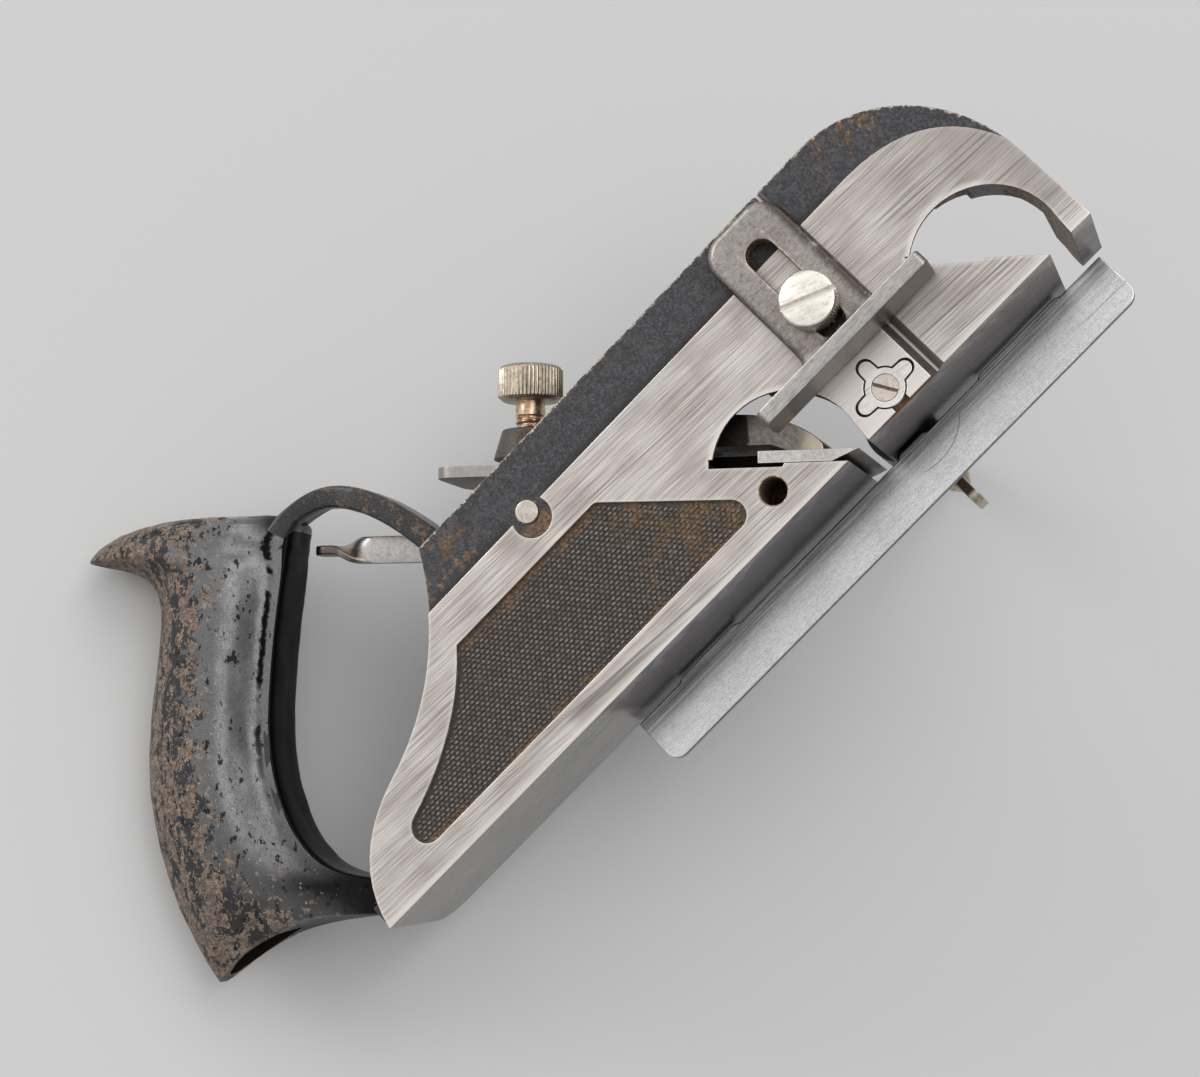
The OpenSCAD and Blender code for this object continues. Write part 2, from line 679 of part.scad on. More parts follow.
module adjusting_lever() {
    low = arm_c - lever_h / 2;
    high = arm_c + lever_h / 2;
    turn_s = pin_s + lever_len;
    tip_s = turn_s + tab_len;
    color([0.66, 0.65, 0.63])
        difference() {
            union() {
                bed_plate(main_x, lever_y, lever_l) {
                    polygon([[pin_s - 4, low + 1.5], [pin_s - 1, low], [turn_s, low], [turn_s + 3, arm_c - 1.1],
                        [turn_s + 3, arm_c + 1.1], [turn_s, high], [pin_s + 9, high], [pin_s + 4.8, pin_h],
                        [pin_s - 4.8, pin_h]]);
                    translate([pin_s, pin_h])
                        circle(d = 10);
                    polygon([[pin_s - 2.2, pin_h], [pin_s + 2.2, pin_h], [pin_s + 0.6, nib_reach],
                        [pin_s - 0.6, nib_reach]]);
                }
                // Finger tab, twisted flat.
                bed_axes(main_x)
                    translate([turn_s, -lever_l - 2.4, arm_c - 1.1])
                        linear_extrude(height = lever_t)
                            polygon(concat([[0, 2.4], [3, 0]],
                                arc([tip_s - turn_s - 3, 3], 3, 3, -90, 0, 5),
                                arc([tip_s - turn_s - 3, lever_t + 1.8], 3, 3, 0, 90, 5),
                                [[3, lever_t + 4.8], [0, lever_t + 2.4]]));
            }
            y_bar(pin_x, pin_z, lever_y - 1, lever_l + 1, pin_d + 2 * fit);
        }
}

module adjusting_lever_pin() {
    color([0.75, 0.74, 0.72])
        y_bar(pin_x, pin_z, right_y + 0.1, well_l + 4, pin_d);
}

// Depth stop

module stop_shape() {
    x0 = stop_x - stop_w / 2;
    x1 = stop_front_x;
    base = foot_z + foot_t;
    polygon(concat([[x0 - 3, foot_z], [x0 - 3, base]],
        arc([x0 - 3, base + 5], 3, 5, -90, 0, 5),
        arc([x0 + 6, stop_top - 6], 6, 6, 180, 96, 6),
        arc([x1 - 6, stop_top - 6], 6, 6, 84, 0, 6),
        arc([x1 + 2.5, base + 3], 2.5, 3, 180, 270, 5),
        [[x1 + 2.5, foot_z]]));
}

module depth_stop() {
    mid = (slot_low + slot_high) / 2;
    run = slot_high - slot_low - slot_w;
    color([0.3, 0.3, 0.3])
        difference() {
            union() {
                plate(stop_face, stop_back)
                    stop_shape();
                // Foot that rides on the work.
                translate([stop_x - foot_len / 2 - 1, 0, foot_z])
                    linear_extrude(height = foot_t)
                        polygon(concat([[0, stop_back], [0, right_y - foot_reach + 1.5]],
                            arc([1.5, right_y - foot_reach + 1.5], 1.5, 1.5, 180, 270, 4),
                            arc([foot_len - 1.5, right_y - foot_reach + 1.5], 1.5, 1.5, 270, 360, 4),
                            [[foot_len, stop_back]]));
                // Fillet inside the angle.
                translate([stop_x - stop_w / 2, 0, 0])
                    rotate([90, 0, 90])
                        linear_extrude(height = stop_w)
                            polygon(concat([[stop_face + 1, foot_z + 1]],
                                flip(arc([stop_face - 3, foot_z + foot_t + 3], 3, 3, -90, 0, 6))));
                // Rib that slides in the guide groove.
                translate([guide_x, stop_back, foot_z])
                    linear_extrude(height = stop_top - 7 - foot_z)
                        intersection() {
                            guide_shape();
                            translate([-guide_w / 2, -1])
                                square([guide_w, guide_d + 1]);
                        }
            }
            plate(stop_face - 4, stop_back + 1) {
                translate([stop_x - slot_w / 2, mid - run / 2])
                    square([slot_w, run]);
                for (z = [mid - run / 2, mid + run / 2])
                    translate([stop_x, z])
                        circle(d = slot_w);
            }
        }
}

module depth_stop_screw() {
    face = stop_face - stop_head_t;
    color([0.7, 0.68, 0.64])
        difference() {
            union() {
                y_bar(stop_x, stop_screw_z, stop_face - 1, inner_y + 5, stop_shank_d);
                translate([stop_x, stop_face, stop_screw_z])
                    rotate([90, 0, 0])
                        rotate_extrude()
                            polygon([[0, 0], [stop_head_d / 2 - 0.5, 0], [stop_head_d / 2, 0.5],
                                [stop_head_d / 2, stop_head_t - 0.6], [stop_head_d / 2 - 0.6, stop_head_t],
                                [0, stop_head_t]]);
            }
            translate([stop_x, face, stop_screw_z])
                rotate([0, 24, 0])
                    translate([-stop_head_d, -1, -0.7])
                        cube([2 * stop_head_d, 2.6, 1.4]);
        }
}

// Spur

module spur() {
    color([0.68, 0.67, 0.65])
        difference() {
            translate([spur_x, right_y + spur_t + 0.1, spur_z])
                rotate([90, 0, 0])
                    linear_extrude(height = spur_t)
                        union() {
                            circle(r = spur_hub_r);
                            for (a = [0, 90, 180])
                                rotate(a)
                                    spur_lobe(0);
                        }
            y_bar(spur_x, spur_z, right_y - 1, right_y + spur_t + 1, spur_shank_d + 2 * fit);
            y_bar(spur_x, spur_z, right_y - 1, right_y + 1.2, spur_head_d + 2 * fit);
        }
}

module spur_screw() {
    color([0.72, 0.69, 0.62])
        difference() {
            union() {
                y_bar(spur_x, spur_z, right_y + 1, right_y + 9.5, spur_shank_d);
                y_bar(spur_x, spur_z, right_y + 0.1, right_y + 1.2, spur_head_d);
            }
            translate([spur_x, right_y, spur_z])
                rotate([0, 62, 0])
                    translate([-spur_head_d, -1, -0.35])
                        cube([2 * spur_head_d, 1.7, 0.7]);
        }
}

// Fence

module fence_shape() {
    r = 3.2;
    polygon(concat([[fence_rear, fence_top]],
        arc([fence_rear + r, r - fence_depth], r, r, 180, 270, 6),
        arc([fence_front - r, r - fence_depth], r, r, 270, 360, 6),
        [[fence_front, fence_top], [fence_front - 12, fence_top], [fence_front - 13, fence_top + pad_h],
        [fence_front - 36, fence_top + pad_h], [fence_front - 37, fence_top], [arm_x + 3, fence_top],
        [arm_x + 2, fence_top + pad_h], [arm_x - 5, fence_top + pad_h], [arm_x - 6, fence_top],
        [fence_rear + 32, fence_top], [fence_rear + 31, fence_top + pad_h],
        [fence_rear + 14, fence_top + pad_h], [fence_rear + 13, fence_top]]));
}

module fence() {
    color([0.5, 0.5, 0.5])
        difference() {
            union() {
                intersection() {
                    plate(fence_y, fence_y + fence_t)
                        fence_shape();
                    translate([fence_rear - 1, 0, 0])
                        rotate([90, 0, 90])
                            linear_extrude(height = fence_front - fence_rear + 2)
                                polygon([[fence_y, 1], [fence_y, -fence_depth], [fence_y + 2.2, -fence_depth],
                                    [fence_y + fence_t, -5], [fence_y + fence_t, 1]]);
                }
                // Bracket that reaches out and up to the boss.
                translate([arm_x - 6.5, 0, 0])
                    rotate([90, 0, 90])
                        linear_extrude(height = 13)
                            polygon([[fence_y + 1, 1 - fence_depth], [fence_y + fence_t + 1.5, 1 - fence_depth],
                                [boss_y1 - 4, arm_z - boss_d / 2 + 1], [boss_y1 - 4, arm_z], [boss_y0 + 1, arm_z],
                                [boss_y0 + 1, fence_top], [fence_y + 1, fence_top]]);
                y_bar(arm_x, arm_z, boss_y0, boss_y1, boss_d);
                translate([arm_x, thumb_y, -fence_gap - 3.5])
                    cylinder(d = 11, h = 5);
            }
            y_bar(arm_x, arm_z, fence_y - 1, boss_y1 + 1, arm_d + 2 * fit);
            translate([arm_x, thumb_y, -fence_depth - 5])
                cylinder(d = thumb_d + 2 * fit, h = fence_depth + 5 + arm_z);
        }
}

module fence_arm() {
    end = half_w + arm_reach;
    color([0.6, 0.6, 0.6])
        difference() {
            union() {
                y_bar(arm_x, arm_z, half_w - arm_thread_len, half_w + 1, arm_thread_d);
                y_bar(arm_x, arm_z, half_w, end - 1, arm_d);
                translate([arm_x, end - 1, arm_z])
                    rotate([-90, 0, 0])
                        cylinder(d1 = arm_d, d2 = arm_d - 2, h = 1);
            }
            // Cross hole for a tommy bar.
            translate([arm_x, end - 8, arm_z - arm_d])
                cylinder(d = 4, h = 2 * arm_d);
        }
}

module fence_thumbscrew() {
    top = arm_z - arm_d / 2 - 0.02;
    neck = -fence_gap - 9.2;
    blade_w = 13;
    color([0.55, 0.47, 0.36]) {
        translate([arm_x, thumb_y, neck])
            cylinder(d = thumb_d, h = top - neck);
        translate([arm_x, thumb_y, neck - 2.4])
            cylinder(d1 = 2.4, d2 = thumb_d, h = 2.4);
        translate([arm_x - 1.2, thumb_y, 0])
            rotate([90, 0, 90])
                linear_extrude(height = 2.4)
                    polygon(concat([[2, neck + 1], [-2, neck + 1]],
                        arc([2.6 - blade_w / 2, 2.6 - thumb_low], 2.6, 2.6, 160, 270, 6),
                        arc([blade_w / 2 - 2.6, 2.6 - thumb_low], 2.6, 2.6, 270, 380, 6)));
    }
}

stock();
cutter();
lever_cap();
lever_cap_stud();
clamp_thumbscrew();
adjusting_lever();
adjusting_lever_pin();
depth_stop();
depth_stop_screw();
spur();
spur_screw();
fence();
fence_arm();
fence_thumbscrew();
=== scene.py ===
from math import copysign, cos, hypot, pi, radians, sin, sqrt

import bmesh
import bpy
from bmesh import ops
from mathutils import Matrix, Vector, noise
from mathutils.geometry import delaunay_2d_cdt


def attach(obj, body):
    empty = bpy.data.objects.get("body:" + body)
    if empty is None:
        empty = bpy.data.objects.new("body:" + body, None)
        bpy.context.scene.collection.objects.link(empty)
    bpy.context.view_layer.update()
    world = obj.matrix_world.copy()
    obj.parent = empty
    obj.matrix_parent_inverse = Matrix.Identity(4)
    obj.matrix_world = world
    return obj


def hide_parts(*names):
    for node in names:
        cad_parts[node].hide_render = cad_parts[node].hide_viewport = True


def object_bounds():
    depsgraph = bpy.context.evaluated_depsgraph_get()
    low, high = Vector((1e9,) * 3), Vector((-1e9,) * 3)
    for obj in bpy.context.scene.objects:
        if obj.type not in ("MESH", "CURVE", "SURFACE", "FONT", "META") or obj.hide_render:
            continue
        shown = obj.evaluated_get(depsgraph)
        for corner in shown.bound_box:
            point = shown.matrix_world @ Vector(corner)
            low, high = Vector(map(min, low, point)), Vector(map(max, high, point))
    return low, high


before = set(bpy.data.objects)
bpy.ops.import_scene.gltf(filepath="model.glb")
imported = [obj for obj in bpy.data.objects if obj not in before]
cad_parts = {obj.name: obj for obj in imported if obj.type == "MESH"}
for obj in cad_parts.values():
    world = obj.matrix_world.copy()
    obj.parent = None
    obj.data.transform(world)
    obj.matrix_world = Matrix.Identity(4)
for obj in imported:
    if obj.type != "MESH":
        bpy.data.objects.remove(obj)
cad_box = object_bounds()
scene = bpy.context.scene
MM = 0.001

# Places on the part, in millimetres
MAIN_X, BULL_X = 35, 93.6  # mouths of the main and the front cutter
THROAT_BACK, THROAT_Z, THROAT_R = 9.9, 7.9, 16.5  # a throat's centre behind and above its mouth, its radius
CHEEK_Y, PANEL_Y = -19, -17.8  # ground face of the cheek, and the floor of its panel
HOLE_X, HOLE_Z = 19.5, 6.9  # tapped hole for the arm
STOP_X, STOP_Y, STOP_Z = 52.9, -23.15, 28.1  # depth stop's screw, on the plate's near face
SPUR_X, SPUR_Z = 50.9, 5.3
GROOVE_X = 61
BOSS_X, BOSS_Z = -21, 41  # sunk ring round the lever's pin
BED_ANGLE = radians(44.4)
CB, SB = cos(BED_ANGLE), sin(BED_ANGLE)


def on_bed(s, y, h):
    """Point up the main bed, to the left and above the bed."""
    return (MAIN_X - s * CB + h * SB, y, s * SB + h * CB)


# Shader building

def fill(tree, socket, value):
    """Link a socket or set its value. Three numbers make an opaque colour."""
    if isinstance(value, bpy.types.NodeSocket):
        tree.links.new(value, socket)
    elif isinstance(value, (tuple, list)) and len(value) == 3 and len(socket.default_value) == 4:
        socket.default_value = (*value, 1)
    else:
        socket.default_value = value


def empty_tree(owner):
    owner.use_nodes = True
    owner.node_tree.nodes.clear()
    return owner.node_tree


def new_node(tree, kind, inputs=None, **props):
    node = tree.nodes.new("ShaderNode" + kind)
    for key, value in props.items():
        setattr(node, key, value)
    for key, value in (inputs or {}).items():
        fill(tree, node.inputs[key], value)
    return node


class Look:
    """A procedural material whose coordinates are millimetres in the part's own frame."""

    def __init__(self, name, **values):
        self.mat = bpy.data.materials.new(name)
        self.tree = empty_tree(self.mat)
        self.shader = new_node(self.tree, "BsdfPrincipled")
        new_node(self.tree, "OutputMaterial", {"Surface": self.shader.outputs[0]})
        for key, value in values.items():
            self.put(key.replace("_", " "), value)
        coord = self.add("TexCoord", out="Object")
        self.co = self.add("VectorMath", {0: coord, "Scale": 1 / MM}, operation="SCALE")
        self.x, self.y, self.z = new_node(self.tree, "SeparateXYZ", {0: self.co}).outputs

    def add(self, kind, inputs=None, out=0, **props):
        """One output of a new node."""
        return new_node(self.tree, kind, inputs, **props).outputs[out]

    def put(self, key, value):
        """Set or link one input of the surface."""
        fill(self.tree, self.shader.inputs[key], value)

    def math(self, op, a, b=0, clamp=True):
        return self.add("Math", {0: a, 1: b}, operation=op, use_clamp=clamp)

    def mul(self, *values):
        total = values[0]
        for value in values[1:]:
            total = self.math("MULTIPLY", total, value, False)
        return total

    def most(self, a, b):
        return self.math("MAXIMUM", a, b)

    def plus(self, a, b):
        return self.math("ADD", a, b, False)

    def inv(self, a):
        return self.math("SUBTRACT", 1, a)

    def sum(self, *pairs):
        total = self.mul(*pairs[0])
        for pair in pairs[1:]:
            total = self.plus(total, self.mul(*pair))
        return total

    def up_bed(self):
        """Distance up the bed's slope."""
        return self.sum((self.x, -CB), (self.z, SB))

    def stretch(self, k, shift=(0, 0, 0), spin=0):
        """The coordinates turned about Y, then scaled and moved."""
        at = self.co
        if spin:
            turn = {"Vector": at, "Angle": radians(spin)}
            at = self.add("VectorRotate", turn, rotation_type="Y_AXIS")
        return self.add("VectorMath", {0: at, 1: k, 2: shift}, operation="MULTIPLY_ADD")

    def moved(self, *shift):
        return self.stretch((1, 1, 1), shift)

    def noise(self, scale, detail=3, rough=0.55, at=None):
        inputs = {"Vector": at or self.co, "Scale": scale, "Detail": detail, "Roughness": rough}
        return self.add("TexNoise", inputs, "Fac")

    def span(self, value, low, high, out0=0, out1=1, curve="LINEAR"):
        inputs = {"Value": value, "From Min": low, "From Max": high, "To Min": out0, "To Max": out1}
        return self.add("MapRange", inputs, "Result", interpolation_type=curve)

    def step(self, value, low, high):
        return self.span(value, low, high, curve="SMOOTHSTEP")

    def below(self, value, low, high):
        return self.inv(self.step(value, low, high))

    def inside(self, value, low, high, soft):
        return self.mul(self.step(value, low - soft, low + soft),
                        self.below(value, high - soft, high + soft))

    def ramp(self, value, places, *colours):
        node = new_node(self.tree, "ValToRGB", {"Fac": value})
        band = node.color_ramp
        while len(band.elements) < len(places):
            band.elements.new(0.5)
        for mark, place, colour in zip(band.elements, places, colours):
            mark.position = place
            mark.color = (*colour, 1)
        return node.outputs["Color"]

    def mix(self, share, a, b):
        return self.add("Mix", {0: share, 6: a, 7: b}, 2, data_type="RGBA")

    def over(self, colour, tint, *shares):
        """A tint laid over a colour, as far as the shares say together."""
        return self.mix(self.mul(*shares), colour, tint)

    def attr(self, name):
        return self.add("Attribute", out="Fac", attribute_name=name)

    def away(self, x0, z0, kx=1, kz=1):
        """Distance in the XZ plane from a point, with each axis scaled."""
        at = self.stretch((kx, 0, kz), (-x0 * kx, 0, -z0 * kz))
        return self.add("VectorMath", {0: at}, "Value", operation="LENGTH")

    def edge(self, radius):
        """Share of nearness to the edges of the mesh, used for wear and for painted highlights."""
        soft = self.add("Bevel", {"Radius": radius * MM}, samples=4)
        hard = self.add("NewGeometry", out="Normal")
        dot = self.add("VectorMath", {0: soft, 1: hard}, "Value", operation="DOT_PRODUCT")
        return self.step(self.inv(dot), 0.004, 0.09)

    def scratches(self, along, spin):
        """Sparse thin lines."""
        shift = (11, 3, 2)
        field = self.noise(0.2, 1, 0.4, self.stretch(along, shift, spin))
        off = self.math("ABSOLUTE", self.math("SUBTRACT", field, 0.5, False))
        gate = self.step(self.noise(0.06, 1, 0.5, self.stretch((0.2, 1, 1), shift)), 0.5, 0.58)
        return self.mul(self.below(off, 0.008, 0.02), gate)

    def paint(self, colour, rough):
        self.put("Base Color", colour)
        self.put("Roughness", rough)

    def bump(self, height, depth, strength):
        inputs = {"Strength": strength, "Distance": depth * MM, "Height": height}
        normal = self.add("Bump", inputs)
        self.put("Normal", normal)
        return normal


def steel(name, dark, mid, light, rough, along, fine, gleam, rim, blot, extra=None, spin=0):
    """Steel with fine grinding streaks, sparse scratches, and edges brightened as burnished wear and
    painted highlight.

    The streaks run where along is small. Gleam is the brightening of the edges over the rim's width, partly
    wear and partly painted highlight, and blot the share of mottling.
    """
    k = Look(name, Metallic=1)
    broad = k.noise(0.09, 2, 0.5, k.moved(3, 5, 9))
    streak = k.noise(3.2 * fine, 2, 0.6, k.stretch(along, (7, 1, 2), spin))
    hair = k.noise(7.2 * fine, 1, 0.5, k.stretch(along, (1, 8, 4), spin - 5))
    tone = k.sum((broad, 0.22), (streak, 0.42), (hair, 0.36))
    if blot:
        tone = k.sum((tone, 1 - blot), (k.noise(0.9, 4, 0.7), blot))
    colour = k.ramp(tone, (0.39, 0.5, 0.61), dark, mid, light)
    if along[0] < 0.2:
        scratch = k.scratches((along[0] * 1.2, along[1], along[2]), spin - 3)
        colour = k.over(colour, [c * 0.5 for c in dark], scratch, 0.6)
    # Lighter edges: partly burnished wear, partly painted highlight
    if gleam:
        colour = k.over(colour, [min(1, c * 1.2) for c in light], k.edge(rim), gleam)
    if extra:
        colour = extra(k, colour)
    k.paint(colour, k.span(streak, 0.35, 0.65, *rough))
    k.bump(tone, 0.02, 0.3)
    return k


def rusted(name, rust=0.58, gloss=0.34, black=(0.012, 0.012, 0.014), worn=0, extra=None):
    """Black japan over cast iron, with rust blooms, pits and a low sheen."""
    k = Look(name, Specular_IOR_Level=0.5)
    lump = k.noise(0.3, 4, 0.62)
    speck = k.noise(1.9, 4, 0.66, k.moved(7, 1, 4))
    bloom = k.sum((lump, 0.62), (speck, 0.38))
    mask = k.step(bloom, rust - 0.03, rust + 0.03)
    if worn:
        mask = k.most(mask, k.mul(k.edge(0.9), k.step(speck, 0.42, 0.56), worn))
    film = k.ramp(speck, (0.32, 0.52, 0.72), *([c * s for c in black] for s in (0.7, 1.7, 4)))
    brown = k.ramp(k.noise(1.1, 4, 0.65), (0.36, 0.52, 0.66), (0.04, 0.022, 0.013), (0.11, 0.062, 0.036),
                   (0.24, 0.145, 0.085))
    colour = k.mix(mask, film, brown)
    rough = k.sum((mask, 0.42), (speck, 0.1), (1, gloss))
    if extra:
        colour, rough = extra(k, colour, rough, speck)
    k.paint(colour, rough)
    k.bump(k.sum((bloom, 0.5), (speck, 0.5)), 0.14, 0.5)
    return k


# Mesh building

def new_object(name, data):
    obj = bpy.data.objects.new(name, data)
    scene.collection.objects.link(obj)
    return obj


def piece(name, mesh, body, looks, node=None, weigh=False):
    mesh.name = name
    obj = new_object(name, mesh)
    for look in looks:
        mesh.materials.append(look.mat)
    if weigh:
        normals = obj.modifiers.new("even normals", "WEIGHTED_NORMAL")
        normals.keep_sharp = True
        normals.weight = 80
    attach(obj, body)
    if node:
        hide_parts(node)
    return obj


def cad_bmesh(node):
    bm = bmesh.new()
    bm.from_mesh(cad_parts[node].data)
    ops.remove_doubles(bm, verts=bm.verts, dist=2e-6)
    return bm


def tidy(bm):
    ops.dissolve_limit(bm, angle_limit=radians(0.4), verts=bm.verts, edges=bm.edges,
                       use_dissolve_boundaries=False, delimit={"MATERIAL"})


def round_edges(bm, width, low=30, steps=2, skip=lambda e: False, clamp=True):
    edges = [e for e in bm.edges if len(e.link_faces) == 2 and e.calc_face_angle(0) > radians(low)
             and not skip(e)]
    ops.bevel(bm, geom=edges, offset=width * MM, offset_type="OFFSET", segments=steps, profile=0.5,
              affect="EDGES", clamp_overlap=clamp, material=-1)


def mend_folds(bm):
    """Split afresh the many-sided faces that rounding has folded over themselves."""
    bm.normal_update()
    turned = {}
    for a, b, c in bm.calc_loop_triangles():
        area = (b.vert.co - a.vert.co).cross(c.vert.co - a.vert.co).dot(a.face.normal) / 2
        if area < 0:
            turned[a.face] = turned.get(a.face, 0) - area
    folded = [f for f, area in turned.items() if area > 0.02 * MM * MM and len(f.verts) > 4]
    for face in folded:
        out = face.normal.copy()
        if max(abs(c) for c in out) > 0.999:
            out = Vector([round(c) for c in out])
        across = out.orthogonal().normalized()
        along = out.cross(across)
        old = list(face.verts)
        level = sorted(v.co.dot(out) for v in old)[len(old) // 2]
        flat = [Vector((v.co.dot(across), v.co.dot(along))) for v in old]
        points, _, parts, origin, _, _ = delaunay_2d_cdt(flat, [], [list(range(len(old)))], 2, 1e-8)
        verts = [old[o[0]] if o else bm.verts.new(across * q.x + along * q.y + out * level)
                 for q, o in zip(points, origin)]
        look = face.material_index
        ops.delete(bm, geom=[face], context="FACES_ONLY")
        for part in parts:
            trio = [verts[i] for i in part]
            if len(set(trio)) == 3 and not bm.faces.get(trio):
                bm.faces.new(trio).material_index = look
    if folded:
        # A new face takes any free place in the list, so the list is put in order
        bm.verts.index_update()
        listed = sorted(bm.faces, key=lambda f: sorted(v.index for v in f.verts))
        rank = {f: i for i, f in enumerate(listed)}
        bm.faces.sort(key=rank.get)


def to_mesh(bm, angle=32):
    """A mesh with smooth shading that breaks at edges sharper than the angle."""
    mend_folds(bm)
    ops.recalc_face_normals(bm, faces=bm.faces)
    bm.normal_update()
    for face in bm.faces:
        face.smooth = True
    for edge in bm.edges:
        edge.smooth = len(edge.link_faces) == 2 and edge.calc_face_angle(0) < radians(angle)
    mesh = bpy.data.meshes.new("mesh")
    bm.to_mesh(mesh)
    bm.free()
    return mesh


def dress(node, body, looks, width, pick=None, wide=None, shape=None):
    """A CAD node with its edges rounded and a material picked for each face."""
    bm = cad_bmesh(node)
    if shape:
        shape(bm)
        bm.normal_update()
    if pick:
        for face in bm.faces:
            face.material_index = pick(face.calc_center_median() / MM, face.normal)
    tidy(bm)
    if wide:
        amount, chosen = wide
        round_edges(bm, amount, 30, 4, lambda e: not chosen([v.co / MM for v in e.verts]), False)
    round_edges(bm, width, clamp=False)
    piece(node + "_dressed", to_mesh(bm), body, looks, node, True)


def redraw(node, bm, looks):
    """A moving node drawn afresh."""
    piece(node + "_dressed", to_mesh(bm, 40), node, looks, node)


def spline(values, parts):
    """Catmull-Rom curve through rows of numbers."""
    out = []
    last = len(values) - 1
    for k in range(last):
        a, b, c, d = (values[max(0, k - 1)], values[k], values[k + 1], values[min(last, k + 2)])
        for i in range(parts):
            t = i / parts
            out.append([0.5 * (2 * q + (r - p) * t + (2 * p - 5 * q + 4 * r - s) * t * t
                               + (3 * q - p - 3 * r + s) * t ** 3) for p, q, r, s in zip(a, b, c, d)])
    out.append(list(values[-1]))
    return out


def skin(rings):
    """A tube through rings of points, with both ends closed."""
    bm = bmesh.new()
    rows = [[bm.verts.new(Vector(p) * MM) for p in ring] for ring in rings]
    n = len(rows[0])
    for a, b in zip(rows, rows[1:]):
        for i in range(n):
            j = (i + 1) % n
            bm.faces.new((a[i], a[j], b[j], b[i]))
    for ring, order in ((rows[0], 1), (rows[-1], -1)):
        hub = bm.verts.new(sum((v.co for v in ring), Vector()) / n)
        for i in range(n):
            tri = (ring[i], hub, ring[(i + 1) % n])
            bm.faces.new(tri[::order])
    bm.normal_update()
    return bm


def soft_square(count, power):
    """Points round a square of half side 1 with soft corners."""
    turns = [2 * pi * (i + 0.5) / count for i in range(count)]
    return [[copysign(abs(f(a)) ** power, f(a)) for f in (cos, sin)] for a in turns]


def quad_bez(p, q, r, t):
    return [(1 - t) ** 2 * a + 2 * t * (1 - t) * b + t * t * c for a, b, c in zip(p, q, r)]


def ease(t):
    t = min(1, max(0, t))
    return t * t * (3 - 2 * t)


def mix(a, b, t):
    return a + (b - a) * t


def merge(*parts):
    """Several meshes in one, each with its own material."""
    whole = bmesh.new()
    for bm, look in parts:
        for face in bm.faces:
            face.material_index = look
        mesh = bpy.data.meshes.new("part")
        bm.to_mesh(mesh)
        bm.free()
        whole.from_mesh(mesh)
        bpy.data.meshes.remove(mesh)
    return whole


def carve(bm, tool):
    """A solid with another one cut out of it."""
    pair = []
    for part in (bm, tool):
        mesh = bpy.data.meshes.new("carve")
        ops.recalc_face_normals(part, faces=part.faces)
        part.to_mesh(mesh)
        part.free()
        pair.append(new_object("carve", mesh))
    cut = pair[0].modifiers.new("cut", "BOOLEAN")
    cut.operation = "DIFFERENCE"
    cut.solver = "EXACT"
    cut.object = pair[1]
    bpy.context.view_layer.update()
    result = bmesh.new()
    result.from_object(pair[0], bpy.context.evaluated_depsgraph_get())
    for obj in pair:
        mesh = obj.data
        bpy.data.objects.remove(obj)
        bpy.data.meshes.remove(mesh)
    return result


def lathe(rows, count, place):
    """A turned solid: rows of height and radius, where a radius may change round the turn."""
    rings = []
    for h, r in rows:
        ring = []
        for i in range(count):
            a = 2 * pi * i / count
            radius = r(a, h) if callable(r) else r
            ring.append(place(radius * cos(a), radius * sin(a), h))
        rings.append(ring)
    return skin(rings)


def knurl(radius, teeth, depth):
    return lambda a, h: radius - depth * (0.5 - 0.5 * cos(teeth * a)) ** 0.7


def thread(radius, pitch, depth):
    return lambda a, h: radius - depth * abs(2 * ((h / pitch + a / (2 * pi)) % 1) - 1)


# Finishes

def cheek_marks(k, colour):
    """Darker patches at the toe, a bright band of painted highlight along the sole and round the throats,
    and brown dirt with painted shade behind the depth stop's slot.
    """
    # Painted highlight: a bright band along the sole and round the throats
    band = k.below(k.z, 0.3, 2.2)
    for m in (MAIN_X, BULL_X):
        ring = k.plus(k.away(m - THROAT_BACK, THROAT_Z), -THROAT_R)
        band = k.most(band, k.mul(k.inside(ring, -1.2, 1, 0.7), k.step(k.z, 19, 22)))
    # Darker towards the top of the toe, over the front block and in faint random patches
    darker_patches = k.mul(k.step(k.plus(k.x, k.mul(k.z, 0.6)), 82, 128), k.step(k.z, 13, 20), 0.5)
    darker_patches = k.most(darker_patches, k.mul(k.step(k.noise(0.035, 3, 0.6), 0.52, 0.72), 0.12))
    darker_patches = k.most(darker_patches, k.mul(k.step(k.x, 90, 102), k.step(k.z, 4, 9), 0.5))
    colour = k.mix(darker_patches, colour, (0.27, 0.235, 0.225))
    clean = k.mul(k.inside(k.x, 41, 61.5, 1.8), k.below(k.z, 11, 18), 0.75)
    colour = k.mix(clean, colour, (0.84, 0.795, 0.76))
    hole = k.mul(k.inside(k.away(HOLE_X, HOLE_Z), 2.8, 3.3, 0.15), k.step(k.noise(0.9, 3, 0.6), 0.36, 0.52))
    colour = k.over(colour, (0.16, 0.09, 0.045), hole, 0.75)
    # The painted highlight band
    colour = k.over(colour, (0.8, 0.755, 0.72), band, 0.65)
    # Darker brown behind the depth stop's slot: dirt and painted shade under the stop
    grime_and_shade = k.mul(k.inside(k.x, 48.5, 57.3, 0.5), k.inside(k.z, 17.6, 23.5, 0.5),
                  k.step(k.noise(0.7, 3, 0.6), 0.3, 0.44))
    return k.over(colour, (0.028, 0.016, 0.009), grime_and_shade, 0.92)


